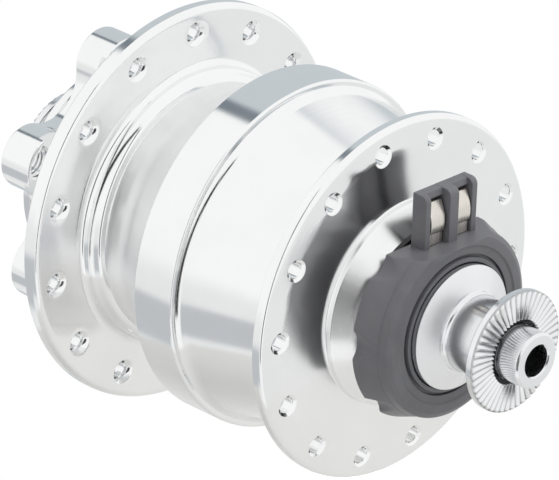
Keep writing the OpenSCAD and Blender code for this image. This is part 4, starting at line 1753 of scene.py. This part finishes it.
@dataclass
class Studio:
    """The camera that took the photograph, the pale floor and the soft light round the object."""

    azimuth: float = -46.2316
    elevation: float = 25.5139
    roll: float = 2.0
    distance: float = 856.992
    shift_right: float = -8.28289
    shift_up: float = 4.474
    origin_y: float = 11.0
    pixels_long: float = 5500.0
    picture_width: float = 559.0
    sensor: float = 36.0
    floor_z: float = -95.0
    floor_r: float = 105.0
    floor_stretch: float = 75.0
    floor_heading: float = 46.0
    floor_colour: Colour = (0.66, 0.655, 0.64)
    floor_glow: float = 0.58
    lamp_place: Corner = (250.0, -250.0, 600.0)
    lamp_size: float = 500.0
    lamp_watts: float = 2.2

    def camera(self) -> None:
        """Places the camera as fitted to the spoke hole circles of the photograph."""
        heading, rise, roll = map(math.radians, (self.azimuth, self.elevation, self.roll))
        back = Vector(
            (math.sin(heading) * math.cos(rise), -math.cos(heading) * math.cos(rise), math.sin(rise))
        )
        right = Vector((math.cos(heading), math.sin(heading), 0.0))
        up = back.cross(right)
        rolled_right = right * math.cos(roll) + up * math.sin(roll)
        rolled_up = up * math.cos(roll) - right * math.sin(roll)
        place = rolled_right * self.shift_right + rolled_up * self.shift_up + back * self.distance
        place.y -= self.origin_y
        data = bpy.data.cameras.new("photo_camera")
        data.sensor_width = self.sensor
        data.lens = self.pixels_long * self.sensor / self.picture_width
        data.clip_start, data.clip_end = 0.05, 20.0
        camera = in_scene("photo_camera", data)
        turned = Matrix((rolled_right, rolled_up, back)).transposed().to_4x4()
        camera.matrix_world = Matrix.Translation(place * MM) @ turned
        bpy.context.scene.camera = camera

    def surroundings(self) -> None:
        """Paints the light tent from its panels, and leaves the picture's background white."""
        world = bpy.data.worlds.new("light_tent")
        bpy.context.scene.world = world
        world.use_nodes = True
        graph = Graph(world.node_tree)
        look = graph.node("ShaderNodeTexCoord").outputs["Generated"]
        x, y, z = graph.node("ShaderNodeSeparateXYZ", {0: look}).outputs
        azimuth = graph.math("DEGREES", graph.math("ARCTAN2", x, graph.math("MULTIPLY", y, -1.0)))
        elevation = graph.math("DEGREES", graph.math("ARCSINE", z))
        tent: Colour | Socket = WHITE
        for panel in TENT:
            tent = panel.paint(graph, azimuth, elevation, tent)
        lit = graph.node("ShaderNodeBackground", {0: tent, 1: 1.0}).outputs[0]
        seen = graph.node("ShaderNodeBackground", {0: (*WHITE, 1.0), 1: 1.0}).outputs[0]
        straight = graph.node("ShaderNodeLightPath").outputs["Is Camera Ray"]
        mixed = graph.node("ShaderNodeMixShader", {0: straight, 1: lit, 2: seen})
        graph.node("ShaderNodeOutputWorld", {0: mixed.outputs[0]})

    def floor(self) -> None:
        """Lays a round pale floor under the object, which glows a little for the camera."""
        shape = bmesh.new()
        bmesh.ops.create_circle(shape, cap_ends=True, segments=96, radius=self.floor_r * MM)
        mesh = bpy.data.meshes.new("floor")
        shape.to_mesh(mesh)
        shape.free()
        longer = 1 + self.floor_stretch / 2 / self.floor_r
        heading = Matrix.Rotation(math.radians(self.floor_heading - 90), 4, "Z")
        moved = Matrix.Translation((self.floor_stretch / 2 * MM, 0, self.floor_z * MM))
        mesh.transform(heading @ moved @ Matrix.Diagonal((longer, 1, 1, 1)))
        floor = in_scene("floor", mesh)
        material = bpy.data.materials.new("pale_floor")
        material.use_nodes = True
        graph = Graph(material.node_tree)
        straight = graph.node("ShaderNodeLightPath").outputs["Is Camera Ray"]
        matt = graph.node("ShaderNodeBsdfDiffuse", {0: (*self.floor_colour, 1.0)}).outputs[0]
        lift = graph.math("MULTIPLY", straight, self.floor_glow)
        glow = graph.node("ShaderNodeEmission", {0: (*WHITE, 1.0), 1: lift}).outputs[0]
        both = graph.node("ShaderNodeAddShader", {0: matt, 1: glow})
        graph.node("ShaderNodeOutputMaterial", {0: both.outputs[0]})
        mesh.materials.append(material)

    def lamp(self) -> None:
        """Hangs one soft lamp that lights matt surfaces and doesn't show in the metal."""
        data = bpy.data.lights.new("top_softbox", "AREA")
        data.size, data.energy = self.lamp_size * MM, self.lamp_watts
        lamp = in_scene("top_softbox", data)
        lamp.location = Vector(self.lamp_place) * MM
        lamp.rotation_mode = "QUATERNION"
        lamp.rotation_quaternion = (-lamp.location).to_track_quat("-Z", "Y")
        lamp.visible_glossy = False

    def build(self) -> None:
        """Sets the whole studio."""
        bpy.context.scene.view_settings.view_transform = "Standard"
        for part in (self.camera, self.surroundings, self.floor, self.lamp):
            part()


def dress_nodes(frame: dict) -> None:
    """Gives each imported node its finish.
    """
    materials = {finish.slot: finish.material() for finish in FINISHES}
    slots = {part["node"]: part["material_slot"] for part in frame["record"]["subparts"]}
    for name, piece in frame["nodes"].items():
        if piece.material_slots:
            piece.material_slots[0].material = materials[slots[name]]
        else:
            piece.data.materials.append(materials[slots[name]])


def main() -> None:
    """Builds and dresses the hub."""
    logging.basicConfig(level=logging.INFO, format="%(name)s: %(message)s")
    for old in list(bpy.data.objects):
        bpy.data.objects.remove(old)
    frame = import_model()
    Studio().build()
    dress_nodes(frame)
    for maker in (
        HubShell(),
        RightCover(),
        ConnectorCap(),
        Contacts(),
        LockNut("left_lock_nut", 1.0, 37.0),
        LockNut("right_lock_nut", -1.0, 36.4),
        Axle(),
    ):
        piece = maker.build()
        LOG.info("%s is done: %s", type(maker).__name__, piece.name)


if __name__ == "__main__":
    main()
